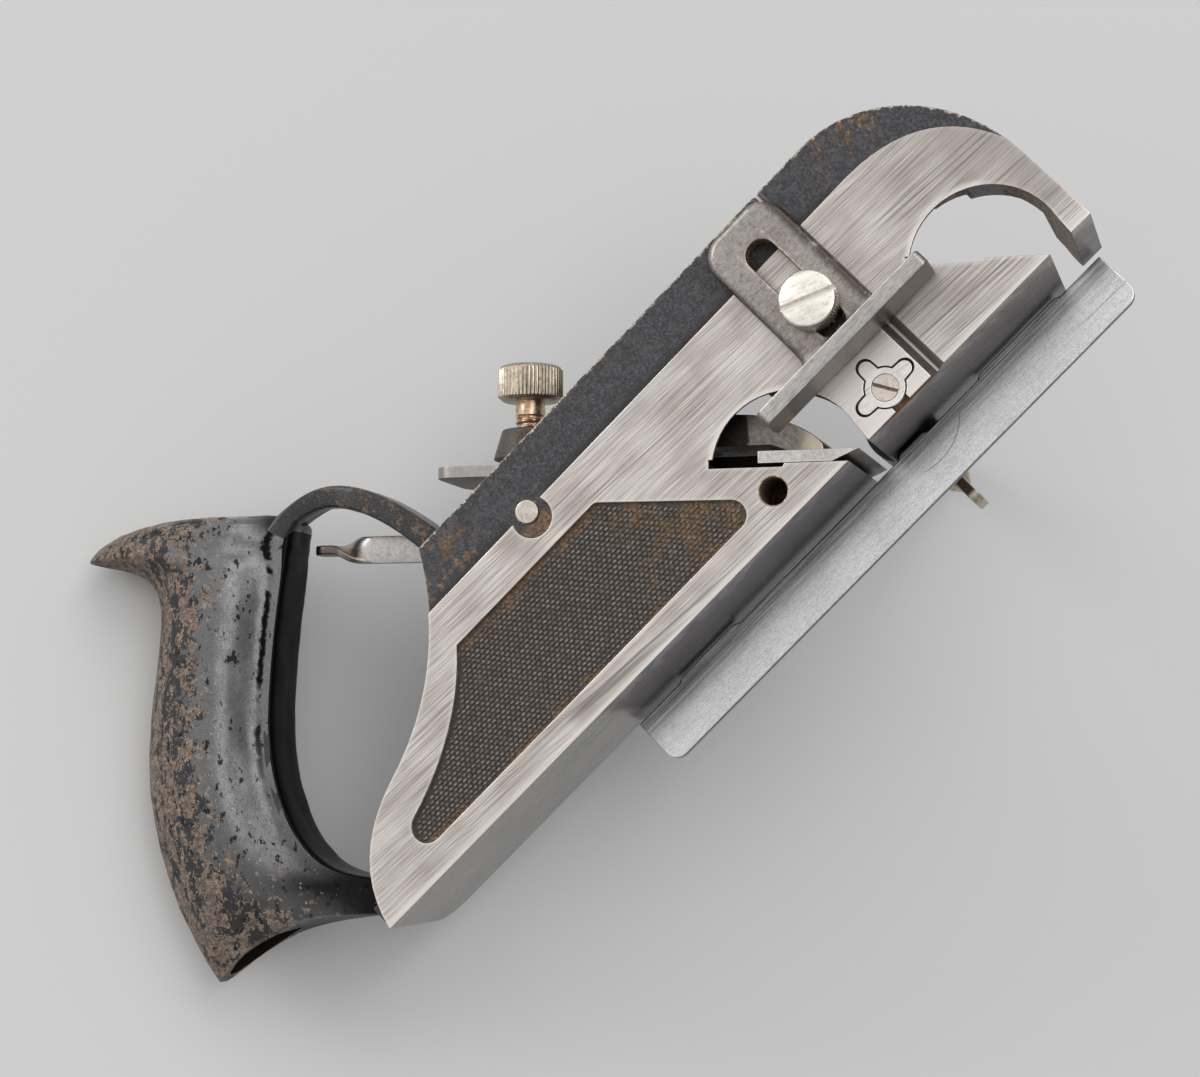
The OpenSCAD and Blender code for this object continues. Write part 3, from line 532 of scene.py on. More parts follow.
def sole_fence_reflection(k, colour):
    """Painted reflection of the fence over the sole from the fence's end on, with painted shade behind the
    main mouth and in the gap against the fence.
    """
    # Painted reflection of the fence, darker from its end on
    dark = k.mul(k.step(k.plus(k.x, k.mul(k.y, -0.12)), -38.5, -36),
                 k.step(k.sum((k.noise(0.2, 3, 0.6), 0.6), (k.step(k.y, -22, 2), 0.4)), 0.2, 0.5))
    colour = k.over(colour, (0.045, 0.038, 0.034), dark, 0.9)
    # Painted shade behind the main mouth
    colour = k.over(colour, (0.02, 0.017, 0.015), k.inside(k.x, 8, 36, 4), 0.35)
    # Painted shade in the gap against the fence
    return k.over(colour, (0.016, 0.014, 0.013), k.step(k.y, 11, 12.5), k.step(k.x, -41, -39), 0.9)


def fence_marks(k, colour):
    """Fine grit, a streaky band of painted shade beside the sole and one long curved scratch."""
    grit = k.noise(3.6, 2, 0.6, k.moved(5, 5, 1))
    colour = k.over(colour, (0.16, 0.155, 0.16), k.below(grit, 0.38, 0.5), 0.32)
    colour = k.over(colour, (0.92, 0.91, 0.92), k.step(grit, 0.56, 0.68), 0.4)
    # Painted shade under the sole's edge, in streaks
    rows = k.noise(3.2, 2, 0.6, k.stretch((0.014, 1, 1), (2, 6, 3)))
    shade = k.mul(k.step(k.z, -7.5, -1.5), k.span(rows, 0.36, 0.64, 1.2, 0.3))
    colour = k.over(colour, (0.11, 0.1, 0.1), shade, 0.72)
    curve = k.math("ABSOLUTE", k.plus(k.away(48.1, 5.95), -13.9), 0, False)
    curve = k.mul(k.below(curve, 0.04, 0.16), k.inside(k.x, 43.6, 58.2, 0.6), k.below(k.y, 12.1, 12.4))
    return k.over(colour, (0.1, 0.09, 0.09), curve, 0.7)


def stop_marks(k, colour):
    """Brown dirt and painted shade on the rolled long edges and the lower end of the depth stop."""
    off = k.plus(k.x, -STOP_X)
    # The sides and the lower end darkened: dirt and painted shade
    side = k.most(k.step(off, 6.8, 9), k.mul(k.below(off, -9.8, -8), 0.6))
    side = k.most(side, k.mul(k.below(k.z, 18.4, 22.5), 0.7))
    side = k.mul(side, k.step(k.z, 17.4, 18.2))
    grime_and_shade = k.mul(side, k.step(k.noise(0.4, 4, 0.7), 0.26, 0.5), 0.85)
    colour = k.mix(grime_and_shade, colour, (0.055, 0.042, 0.034))
    hole = k.math("ABSOLUTE", off, 0, False)
    lip = k.mul(k.inside(hole, 3.3, 3.9, 0.2), k.inside(k.z, 20, 47, 0.5),
                k.step(k.noise(0.6, 3, 0.6), 0.42, 0.58))
    colour = k.over(colour, (0.62, 0.54, 0.44), lip, 0.6)
    wear = k.mul(k.step(k.noise(0.5, 4, 0.7, k.moved(5, 2, 8)), 0.54, 0.7), 0.3)
    return k.mix(wear, colour, (0.46, 0.41, 0.36))


def groove_painted_light(k, colour):
    # Painted light: a lighter right wall and a painted highlight along the groove's floor
    line = k.below(k.math("ABSOLUTE", k.plus(k.x, -GROOVE_X)), 0.16, 0.42)
    right = k.step(k.x, 60.9, 61.2)
    colour = k.mix(right, colour, (0.3, 0.26, 0.25))
    return k.mix(line, colour, (0.72, 0.68, 0.66))


steel_cheek = steel(
    "cheek_steel", (0.31, 0.27, 0.247), (0.51, 0.46, 0.432), (0.72, 0.665, 0.63),
    (0.32, 0.44), (0.009, 1, 1), 1.15, 0.5, 1.5, 0, cheek_marks, spin=-1.5)
steel_sole = steel(
    "sole_steel", (0.24, 0.232, 0.226), (0.325, 0.315, 0.305), (0.43, 0.415, 0.4),
    (0.24, 0.34), (0.03, 1, 0.4), 1, 0.35, 0.6, 0.2, sole_fence_reflection)
steel_toe = steel(
    "toe_steel", (0.42, 0.385, 0.35), (0.6, 0.565, 0.525), (0.78, 0.74, 0.7),
    (0.36, 0.46), (1, 0.04, 1), 0.8, 0.4, 0.8, 0.4)
# Dark steel on the groove's walls: painted shade
groove_shaded_steel = steel(
    "groove_steel_painted_shade", (0.1, 0.095, 0.09), (0.17, 0.165, 0.155), (0.26, 0.25, 0.235),
    (0.36, 0.46), (1, 1, 0.05), 1, 0, 1, 0.3, groove_painted_light)
bed_steel = steel(
    "bed_steel", (0.13, 0.11, 0.09), (0.24, 0.21, 0.185), (0.36, 0.33, 0.3),
    (0.4, 0.52), (1, 0.05, 1), 0.8, 0.4, 0.8, 0.4)


def rim_marks(k, colour, rough, speck):
    """Chips along the top edge, a dark line of painted shade at the ground border and rust round the pin.
    """
    near = k.below(k.y, -18.12, -17.9)
    reach = k.away(74, 19.8, 1 / 31, 1 / 35)
    flat = k.mul(k.math("ABSOLUTE", k.plus(k.z, -19.8), 0, False), 1 / 35)
    turn = k.step(k.x, 73.9, 74.1)
    share = k.plus(k.mul(turn, reach), k.mul(k.inv(turn), flat))
    depth = k.mul(k.plus(1, k.mul(share, -1)), 35)
    ragged = k.noise(0.7, 4, 0.75, k.stretch((0.55, 1, 1), (2, 4, 6)))
    chip = k.step(k.plus(k.mul(ragged, 3.4), k.mul(depth, -1)), 1.3, 1.6)
    slate = k.ramp(speck, (0.32, 0.5, 0.64), (0.009, 0.0093, 0.011), (0.026, 0.027, 0.032),
                   (0.085, 0.085, 0.092))
    # Painted shade: a dark line where the rim steps down from the ground face
    border = k.mul(k.below(k.z, 43, 45.4), k.below(k.x, 70, 76), k.step(k.away(BOSS_X, BOSS_Z), 4, 7))
    blot = k.step(k.noise(0.5, 4, 0.7, k.moved(8, 3, 1)), 0.5, 0.6)
    slate = k.over(slate, (0.095, 0.093, 0.096), blot, 0.35)
    colour = k.over(colour, slate, near, 0.85)
    bloom = k.most(k.mul(k.step(k.x, 66, 80), k.step(k.z, 44, 48)), k.below(k.x, -36, -28))
    rust = k.mul(near, bloom, k.step(k.noise(0.42, 5, 0.7), 0.52, 0.6))
    boss = k.mul(near, k.below(k.away(BOSS_X, BOSS_Z + 0.2), 4.4, 5.2), k.below(k.z, 39.4, 41.4),
                 k.step(k.noise(0.8, 3, 0.6), 0.3, 0.5))
    brown = k.ramp(k.noise(1.5, 4, 0.7), (0.36, 0.52, 0.66), (0.05, 0.028, 0.014), (0.15, 0.082, 0.04),
                   (0.33, 0.185, 0.095))
    colour = k.over(colour, brown, k.most(rust, boss), 0.85)
    # The painted shade line at the border
    colour = k.over(colour, (0.006, 0.005, 0.004), near, border, 0.8)
    cream = k.ramp(k.noise(2.2, 3, 0.6), (0.34, 0.5, 0.64), (0.16, 0.12, 0.085), (0.42, 0.36, 0.28),
                   (0.7, 0.64, 0.54))
    rear = k.mul(k.edge(0.5), k.step(ragged, 0.46, 0.56), k.step(k.z, 39, 41))
    return k.over(colour, cream, near, k.most(chip, rear)), rough


def throat_shade_marks(k, colour, rough, speck):
    """Black painted shade in the main throat with a brown lip, and an olive worn wall at the front one."""
    front = k.step(k.x, 66, 72)
    lip = k.mul(k.below(k.y, -18.3, -17.4), k.step(speck, 0.4, 0.55))
    # Painted shade: the main throat darkened nearly to black
    colour = k.mix(0.75, colour, (0.006, 0.005, 0.004))
    colour = k.over(colour, (0.13, 0.075, 0.04), lip, 0.7)
    olive = k.ramp(k.noise(0.6, 4, 0.7), (0.42, 0.52, 0.64), (0.03, 0.018, 0.009), (0.12, 0.076, 0.038),
                   (0.3, 0.22, 0.135))
    return k.mix(front, colour, olive), rough


def panel_marks(k, colour, rough, speck):
    """Grey-black pebble tops, lighter partly as painted highlight, over brown rust, most of it in the
    corners.
    """
    # Lighter grey on the pebble tops: partly painted highlight
    top = k.below(k.y, -18.2, -17.94)
    zone = k.most(k.mul(k.step(k.x, -22, 10), 1.1), k.mul(k.below(k.z, 6.6, 9.4), 0.8))
    zone = k.most(zone, k.step(k.z, 29.5, 32.2))
    field = k.sum((k.noise(0.2, 4, 0.65), 0.72), (speck, 0.28), (zone, 0.15))
    rust = k.step(field, 0.56, 0.68)
    floor = k.ramp(speck, (0.34, 0.52, 0.68), (0.016, 0.012, 0.009), (0.055, 0.04, 0.029),
                   (0.12, 0.084, 0.058))
    brown = k.ramp(k.noise(1.3, 4, 0.7), (0.36, 0.52, 0.66), (0.055, 0.034, 0.019), (0.15, 0.09, 0.047),
                   (0.32, 0.195, 0.1))
    grey = k.ramp(k.noise(0.9, 3, 0.6), (0.36, 0.64), (0.1, 0.094, 0.089), (0.26, 0.247, 0.235))
    colour = k.mix(rust, floor, brown)
    return k.over(colour, grey, top, k.inv(k.mul(rust, 0.6))), k.sum((rust, 0.2), (1, 0.42))


def hole_marks(k, colour, rough, speck):
    """Orange rust just inside the mouth of a hole."""
    lip = k.mul(k.below(k.y, -17.6, -15.4), k.step(speck, 0.3, 0.5), 0.8)
    return k.mix(lip, colour, (0.24, 0.135, 0.06)), rough


japan = rusted("rim_japan", 0.57, 0.34, (0.016, 0.016, 0.018), 0.5, rim_marks)
throat = rusted("throat_rust_and_shade", 0.6, 0.5, extra=throat_shade_marks)
panel = rusted("panel_rust", 0.5, 0.4, extra=panel_marks)
rust_line = rusted("rust_line", 0.36, 0.5, (0.012, 0.008, 0.005), extra=hole_marks)


# Stock: cheek, sole, beds and toe, taken from the solid without its grip and strap

GRIP_X, STRAP_FOOT = -55, 54.8  # the grip lies behind the one, the strap above the other


def is_grip(face):
    n = face.normal
    if max(v.co.x for v in face.verts) > GRIP_X * MM:
        return False
    c = face.calc_center_median() / MM
    if abs(n.z) < 0.01 and c.z < 6.1 and c.y > 11.8:
        return False
    if 0.002 < abs(n.y) < 0.998:
        return True
    return abs(n.y) <= 0.002 and max(abs(v.co.y) for v in face.verts) < 5.2 * MM


CHEEK, SOLE, JAPAN, PANEL, TOE, THROAT, BED, GROOVE, RUST = range(9)


def stock_look(c, n):
    """The finish of a face, from its centre and normal."""
    if abs(c.x - GROOVE_X) < 2 and -18.99 < c.y < -16.9 and abs(n.x) > 0.3:
        return GROOVE
    if hypot(c.x - SPUR_X, c.z - SPUR_Z) < 9 and -18.95 < c.y < -16.7 and c.z < 14.2:
        return RUST
    if hypot(c.x - HOLE_X, c.z - HOLE_Z) < 3.1 and c.y < -5:
        return RUST
    if n.y < -0.9:
        if abs(c.y - CHEEK_Y) < 0.06:
            return CHEEK
        if abs(c.y - PANEL_Y) < 0.06:
            return PANEL
        if c.y < -17:
            return JAPAN
    if n.z < -0.9 and abs(c.z) < 0.1:
        return SOLE
    if CHEEK_Y < c.y < -17.7 and abs(n.y) < 0.5 and -90 < c.x < 20 and 5 < c.z < 34:
        return PANEL
    if c.x > 100 and n.x > 0.3 and c.z < 30:
        return TOE
    rise = n.x * SB + n.z * CB
    for m in (MAIN_X, BULL_X):
        near = hypot(c.x - m + THROAT_BACK, c.z - THROAT_Z) < 18
        if abs(n.y) < 0.9 and near and c.z < 27 and c.x < m + 9 and abs(rise) < 0.97:
            return THROAT
    if abs(rise) > 0.98 and n.z > 0 and c.x < 94:
        # Bed faces by the cheek behind the main mouth take the throat's painted shade
        return THROAT if c.y < -8 and c.x < 36 else BED
    return JAPAN


def build_stock():
    bm = cad_bmesh("stock")
    ops.bisect_plane(bm, geom=bm.verts[:] + bm.edges[:] + bm.faces[:], dist=1e-7,
                     plane_co=(0, 0, STRAP_FOOT * MM), plane_no=(0, 0, 1))
    gone = [f for f in bm.faces if f.calc_center_median().z > (STRAP_FOOT + 0.01) * MM or is_grip(f)]
    ops.delete(bm, geom=gone, context="FACES")
    loose = [e for e in bm.edges if not e.link_faces]
    ops.delete(bm, geom=loose, context="EDGES")
    for face in bm.faces:
        face.material_index = stock_look(face.calc_center_median() / MM, face.normal)
    tidy(bm)
    before = set(bm.faces)
    ops.holes_fill(bm, edges=[e for e in bm.edges if len(e.link_faces) == 1], sides=0)
    for face in bm.faces:
        if face not in before:
            face.material_index = JAPAN
    patch = {e for f in bm.faces if f not in before for e in f.edges}
    round_edges(bm, 0.22, 35, 2, lambda e: e in patch or e.calc_length() < 0.3 * MM, False)
    looks = (steel_cheek, steel_sole, japan, panel, steel_toe, throat, bed_steel, groove_shaded_steel, rust_line)
    piece("stock_body", to_mesh(bm), "stock", looks, "stock", True)


build_stock()


# Grip: the hollow pistol grip, drawn smooth from the same rings as the solid

RING_SIDE = ((0, 0), (0, 0.36), (0.008, 0.47), (0.03, 0.515), (0.07, 0.52), (0.11, 0.535), (0.16, 0.6),
             (0.23, 0.73), (0.32, 0.88), (0.43, 0.98), (0.53, 1), (0.64, 0.96), (0.74, 0.87), (0.83, 0.73),
             (0.91, 0.54), (0.965, 0.34), (0.992, 0.16), (1, 0))
OUTER = ((22.9, 116, 132, 3), (22.6, 110, 138.2, 7.5), (21.8, 106, 143, 10),
         (20.5, 103.8, 148.2, 11.6), (19, 103.6, 151.7, 12.4), (17.2, 104, 154.5, 12.8),
         (15.7, 104.3, 156.1, 13), (14.4, 104.5, 156.7, 13.1), (13.4, 104.7, 153, 13.2),
         (12.2, 104.9, 148, 13.3), (10.6, 105.1, 143.5, 13.4), (8, 105.5, 140.4, 13.5),
         (3, 106.3, 138.5, 13.7), (-5, 107.5, 138.7, 13.9), (-14, 108.5, 140, 14),
         (-24, 109.2, 141.4, 14), (-33, 108.8, 141.9, 14), (-41, 107.1, 141.6, 13.9),
         (-47.5, 104.6, 140.3, 13.7, 0.12), (-52.5, 101.3, 138.4, 13.3, 0.26),
         (-56.4, 97.3, 136.4, 12.7, 0.42, 0.4), (-58.7, 92.3, 133.9, 12, 0.6, 1.2),
         (-59.8, 86.8, 131.3, 11.2, 0.78, 2.6), (-60.6, 81.5, 128.7, 10.4, 0.92, 4.6),
         (-61.6, 77, 126, 9.6, 1, 6.3))
INNER = ((-68, 103.5, 123.4, 6.8, 1), (-64, 105.5, 126.6, 8, 0.85), (-56, 109.5, 132.5, 9.4, 0.4),
         (-45, 110.5, 137, 10.6, 0.1), (-31, 112.2, 138.8, 11), (-16, 111.8, 137.4, 10.8),
         (-6, 111.6, 135, 9.6), (-1, 115, 131, 6.5), (1, 119, 127, 3))
GRIP_ANGLE = radians(47.85)
CG, SG = cos(GRIP_ANGLE), sin(GRIP_ANGLE)


def padded(rings):
    return [(*r, 0, 0)[:6] for r in rings]


def ring_point(r, t, w):
    """A ring holds its level, front, back, half width, share of the droop and drop of the front."""
    depth = mix(r[1], r[2], t)
    drop = min(14.6, 16 * (max(0, depth - 95) / 32) ** 1.9)
    level = r[0] - r[4] * drop - r[5] * ease(t / 0.15)
    return (CG * level - SG * depth, w * r[3], SG * level + CG * depth)


def build_grip():
    half = spline(RING_SIDE, 3)
    loop = half + [[t, -w] for t, w in half[-2:0:-1]]
    outer = spline(padded(OUTER), 4)
    rows = [(r, 0, i / (len(outer) - 1)) for i, r in enumerate(outer)]
    rows += [(r, 1, 1) for r in spline(padded(INNER), 3)]
    bm = skin([[ring_point(r, t, w) for t, w in loop] for r, _, _ in rows])
    palm = [t for _ in rows for t, _ in loop] + [0.5, 0.5]
    hollow = [h for _, h, _ in rows for _ in loop] + [0, 1]
    run = [u for _, _, u in rows for _ in loop] + [0, 1]
    bm.verts.ensure_lookup_table()
    ops.recalc_face_normals(bm, faces=bm.faces)
    bm.normal_update()
    for v in bm.verts:
        p = v.co / MM
        v.co += v.normal * MM * (0.16 * noise.noise(p * 0.22) + 0.07 * noise.noise(p * 0.6))
        for a in range(3):
            v.co[a] = min(max(v.co[a], cad_box[0][a]), cad_box[1][a])
    for face in bm.faces:
        ids = [v.index for v in face.verts]
        finger = max(palm[i] for i in ids) < 0.031 and min(run[i] for i in ids) > 0.17
        face.material_index = int(finger or min(hollow[i] for i in ids) > 0.5)
    mesh = to_mesh(bm, 50)
    for name, values in (("palm", palm), ("hollow", hollow), ("run", run)):
        mesh.attributes.new(name, "FLOAT", "POINT").data.foreach_set("value", values)
    return mesh


def grip_look():
    """Worn japan: a grey sheen on the flank and a palm side gone to brown with black islands, with painted
    shade towards the palm, along the finger face's edge and in the inner corners, and a painted highlight
    on the hollow's edge.
    """
    k = Look("grip_japan", Specular_IOR_Level=0.5, Coat_Roughness=0.24, Coat_IOR=1.9)
    palm = k.attr("palm")
    run = k.attr("run")
    big = k.noise(0.1, 2, 0.5)
    lump = k.noise(0.33, 4, 0.66, k.moved(3, 8, 1))
    fleck = k.noise(0.8, 4, 0.68, k.moved(6, 2, 9))
    fine = k.noise(2.4, 3, 0.65)
    grey = k.ramp(k.sum((lump, 0.5), (fine, 0.5)), (0.36, 0.5, 0.64), (0.022, 0.022, 0.025),
                  (0.045, 0.045, 0.049), (0.085, 0.085, 0.09))
    # Painted shade: the grey darkened towards the palm where the sheen falls off, and darker towards the
    # grip's lower end
    dim = k.most(k.mul(k.step(run, 0.62, 0.86), 0.85),
                 k.mul(k.step(k.plus(palm, k.mul(lump, 0.3)), 0.56, 0.78), 0.92))
    grey = k.mix(dim, grey, (0.013, 0.013, 0.015))
    reach = k.sum((lump, 0.85), (fleck, 0.35), (big, 0.25), (k.step(palm, 0.2, 0.8), 0.36),
                  (k.below(run, 0.16, 0.4), 0.08))
    worn = k.step(reach, 0.905, 0.94)
    brown = k.ramp(k.sum((fine, 0.55), (fleck, 0.45)), (0.38, 0.47, 0.55, 0.65), (0.042, 0.03, 0.023),
                   (0.094, 0.07, 0.057), (0.165, 0.125, 0.1), (0.42, 0.295, 0.2))
    isle = k.sum((k.noise(0.34, 5, 0.7, k.stretch((1, 1, 0.65), (2, 5, 7), -42)), 0.8), (fine, 0.2),
                 (k.step(palm, 0.7, 0.9), 0.03))
    patch = k.step(isle, 0.497, 0.513)
    brown = k.over(brown, (0.36, 0.245, 0.16), k.below(isle, 0.518, 0.54), k.step(fleck, 0.4, 0.55), 0.7)
    brown = k.mix(patch, (0.015, 0.015, 0.018), brown)
    colour = k.mix(worn, grey, brown)
    spots = k.mul(k.step(k.noise(0.5, 4, 0.68, k.moved(9, 9, 2)), 0.59, 0.62), k.step(palm, 0.2, 0.36))
    colour = k.over(colour, (0.25, 0.17, 0.112), spots, 0.8)
    dark = k.below(k.noise(0.5, 4, 0.66, k.stretch((1, 1, 0.6), (1, 4, 3), -42)), 0.37, 0.4)
    colour = k.over(colour, (0.01, 0.01, 0.013), dark, 0.8)
    # Painted shade: black dashes along the groove beside the finger face
    break_up = k.step(k.noise(0.14, 2, 0.5, k.moved(4, 4, 4)), 0.36, 0.42)
    waver = k.plus(palm, k.mul(k.plus(fleck, -0.5), 0.06))
    crease_shade = k.mul(k.inside(waver, 0.085, 0.125, 0.01), break_up, k.below(run, 0.62, 0.74))
    colour = k.over(colour, (0.004, 0.004, 0.006), crease_shade, 0.95)
    # Painted shade in the inner corners where the grip meets the stock
    root_shade = k.mul(k.step(run, 0.8, 0.9), k.below(palm, 0.2, 0.5))
    root_shade = k.most(root_shade, k.mul(k.below(run, 0.13, 0.21), k.below(palm, 0.1, 0.26)))
    colour = k.over(colour, (0.004, 0.004, 0.004), root_shade, 0.85)
    cream = k.mul(k.step(k.noise(1.1, 2, 0.5, k.moved(2, 7, 5)), 0.7, 0.73), k.step(run, 0.5, 0.8))
    colour = k.over(colour, (0.42, 0.37, 0.31), cream, 0.8)
    # Painted highlight on the hollow's edge at the grip's tail
    lip = k.mul(k.edge(0.8), k.step(run, 0.9, 0.97))
    colour = k.over(colour, (0.17, 0.15, 0.14), lip, 0.6)
    k.paint(colour, k.sum((worn, 0.28), (fine, 0.14), (1, 0.28)))
    shut = k.most(k.most(dark, crease_shade), k.most(k.mul(root_shade, 0.9), worn))
    k.put("Coat Weight", k.mul(k.inv(shut), k.span(dim, 0, 1, 1, 0.4)))
    # Specular reflection taken away in the painted shade, and partly on the dark islands
    flat = k.most(crease_shade, k.most(k.mul(root_shade, 0.95), k.mul(dark, 0.7)))
    k.put("Specular Tint", k.mix(flat, (1, 1, 1), (0.03, 0.03, 0.03)))
    coat = k.bump(k.sum((worn, 0.35), (fine, 0.2), (fleck, 0.25), (patch, 0.2)), 0.2, 0.5)
    k.put("Coat Normal", coat)
    return k


def finger_look():
    """Glossy black on the finger face, brown towards its far side, and a sooty hollow."""
    k = Look("grip_face", Specular_IOR_Level=0.06)
    fine = k.noise(2.4, 3, 0.65)
    far = k.mul(k.step(k.y, -1, 6), k.step(fine, 0.35, 0.6), 0.6)
    colour = k.mix(far, (0.003, 0.0026, 0.0026), (0.022, 0.012, 0.007))
    k.paint(k.mix(k.attr("hollow"), colour, (0.026, 0.021, 0.018)), k.span(fine, 0.35, 0.65, 0.16, 0.26))
    k.bump(fine, 0.1, 0.4)
    return k


piece("grip", build_grip(), "stock", (grip_look(), finger_look()), "stock")


# Strap: flat-sided bar from the grip's top to the cheek

def strap_marks(k, colour, rough, speck):
    near = k.below(k.y, -8, -6)
    grey = k.ramp(speck, (0.34, 0.5, 0.66), (0.009, 0.009, 0.01), (0.022, 0.021, 0.022),
                  (0.06, 0.056, 0.055))
    rust = k.step(k.sum((k.noise(0.3, 4, 0.68), 0.7), (speck, 0.3)), 0.53, 0.6)
    brown = k.ramp(k.noise(1.2, 4, 0.7), (0.36, 0.62), (0.05, 0.031, 0.02), (0.19, 0.118, 0.07))
    # Painted shade where the strap meets the cheek
    root_shade = k.below(k.z, 55, 61)
    grey = k.over(grey, (0.012, 0.011, 0.009), root_shade, 0.8)
    return k.mix(near, colour, k.over(grey, brown, rust, 0.8)), rough


strap_japan = rusted("strap_japan", 0.62, 0.26, (0.006, 0.006, 0.007), 0.8, strap_marks)


STRAP_TOP = (-66, 88.6), (-43, 87.5), (-39, 55.8)  # x and z of its upper and its lower curve
STRAP_UNDER = (-63, 84), (-47.5, 80.5), (-44.8, 55.8)
STRAP_RELIEF = 0.42  # share of the strap's depth cut back on the far side, where the lever's tab swings


def build_strap():
    rings = []
    for i in range(49):
        u = i / 48
        out = quad_bez(*STRAP_TOP, u)
        inn = quad_bez(*STRAP_UNDER, u)
        if i == 0:
            out, inn = (-69, 88.3), (-67, 82.6)
        near = mix(-6.8, -13, ease(u * 1.7))
        far = mix(5.5, -3, ease(u * 1.4))
        ring = []
        for c, s in soft_square(40, 0.26):
            y = mix(near, far, s * 0.5 + 0.5)
            rise = max(c * 0.5 + 0.5, STRAP_RELIEF * ease((y + 3.6) / 1.4))
            ring.append((mix(inn[0], out[0], rise), y, mix(inn[1], out[1], rise)))
        rings.append(ring)
    rings.append([(x, y, 53.2) for x, y, z in rings[-1]])
    return to_mesh(skin(rings), 60)


piece("strap", build_strap(), "stock", (strap_japan,), "stock")


# Pebbled panel: rows of small cast domes

def panel_edge():
    def arc(c, r, a0, a1, n):
        return [(c[0] + r * cos(radians(mix(a0, a1, i / n))),
                 c[1] + r * sin(radians(mix(a0, a1, i / n)))) for i in range(n + 1)]
    return (arc((9.6, 9.7), 3.3, -90, 45, 8) + arc((-10, 31.1), 2, 45, 90, 4)
            + [quad_bez((-52.1, 33.1), (-64, 19.3), (-85, 13.2), i / 10) for i in range(11)]
            + arc((-83.8, 9.9), 3.5, 120, 270, 8))


def room(edge, x, z):
    """Distance from a point to the panel's edge, negative outside."""
    inside = False
    near = 1e9
    for (ax, az), (bx, bz) in zip(edge, edge[1:] + edge[:1]):
        if (az > z) != (bz > z) and x < (bx - ax) * (z - az) / (bz - az) + ax:
            inside = not inside
        dx, dz = bx - ax, bz - az
        t = min(1, max(0, ((x - ax) * dx + (z - az) * dz) / (dx * dx + dz * dz + 1e-12)))
        near = min(near, hypot(x - ax - t * dx, z - az - t * dz))
    return near if inside else -near


def build_pebbles():
    edge = panel_edge()
    bm = bmesh.new()
    pitch_x, pitch_z = 1.42, 0.9
    for row in range(-2, 34):
        for col in range(-70, 20):
            x = (col + 0.5 * (row % 2)) * pitch_x
            z = row * pitch_z + 4
            if room(edge, x, z) < 0.8:
                continue
            h = 0.55 + 0.12 * noise.noise(Vector((x, z, 0)) * 0.7)
            top = bm.verts.new(Vector((x, PANEL_Y - h, z)) * MM)
            rows = []
            for wide, high, lift in ((0.46, 0.13, 0.9), (0.69, 0.44, -0.12)):
                ring = []
                for j in range(8):
                    a = j * pi / 4
                    ring.append(bm.verts.new(Vector((x + wide * cos(a), PANEL_Y - h * lift,
                                                     z + high * sin(a))) * MM))
                rows.append(ring)
            for j in range(8):
                m = (j + 1) % 8
                bm.faces.new((rows[0][j], rows[0][m], top))
                bm.faces.new((rows[1][j], rows[1][m], rows[0][m], rows[0][j]))
    return to_mesh(bm, 80)


piece("panel_pebbles", build_pebbles(), "stock", (panel,))


# Cutter, lever cap and the screws that hold them

# The face against the bed and the near side of the narrow part take steels with painted shade
def cutter_pick(c, n):
    if n.y < -0.9 and c.y > -18:
        return 2
    return 1 if n.x * SB + n.z * CB < -0.5 else 0


def cap_pick(c, n):
    return int(abs(n.y) > 0.9 and (MAIN_X - c.x) * CB + c.z * SB < 60)


# Painted shade darkens the cap's side from here up the bed
CAP_SHADE = -1.5  # up the bed from here the cap's side is dark


def cap_painted_light(k, colour):
    up = k.up_bed()
    # Painted highlight on the cap's front end by the mouth
    nose_light = k.below(up, -16.5, -12)
    colour = k.over(colour, (0.8, 0.7, 0.54), nose_light, 0.8)
    # Painted shade on the side further up the bed
    return k.over(colour, (0.018, 0.014, 0.011),
                  k.step(k.plus(up, k.mul(k.noise(0.5, 3, 0.6), 2)), CAP_SHADE, CAP_SHADE + 0.8), 0.93)


def tail_marks(k, colour):
    """A browner upper end on the cutter."""
    tail = k.step(k.up_bed(), 40, 52)
    return k.over(colour, (0.2, 0.175, 0.155), tail, 0.6)


def narrow_side_shade(k, colour):
    """Black painted shade inside the throat on the narrow part of the cutter."""
    colour = tail_marks(k, colour)
    # Painted shade, black, inside the throat
    return k.mix(k.below(k.up_bed(), 16, 24), colour, (0.004, 0.0035, 0.003))


CUTTER_TONES = (0.4, 0.375, 0.36), (0.58, 0.555, 0.535), (0.74, 0.71, 0.69)
cutter_steel = steel(
    "cutter_steel", *CUTTER_TONES,
    (0.3, 0.42), (1, 0.05, 1), 0.9, 0.6, 0.5, 0.35, tail_marks)
# Dark steel for the face against the bed: painted shade
cutter_under_shade = steel(
    "cutter_under_shade", (0.06, 0.055, 0.05), (0.12, 0.115, 0.105), (0.22, 0.21, 0.195),
    (0.36, 0.5), (1, 0.05, 1), 0.9, 0.5, 0.5, 0.4)
cap_side = steel(
    "cap_side", (0.14, 0.124, 0.109), (0.24, 0.218, 0.196), (0.35, 0.328, 0.298),
    (0.4, 0.52), (1, 1, 0.06), 1.2, 0.4, 0.8, 0.4, cap_painted_light)
cap_iron = rusted("cap_iron", 0.55, 0.42, (0.036, 0.03, 0.025), 0.6)
nickel = steel(
    "worn_nickel", (0.7, 0.645, 0.56), (0.92, 0.87, 0.785), (1, 0.97, 0.9),
    (0.26, 0.4), (0.12, 1, 1), 0.8, 0.25, 0.4, 0.4, spin=-24)
knob_nickel = steel(
    "knob_nickel", (0.24, 0.197, 0.15), (0.42, 0.36, 0.28), (0.62, 0.555, 0.465),
    (0.3, 0.44), (1, 1, 1), 0.7, 0.6, 0.3, 0.5)
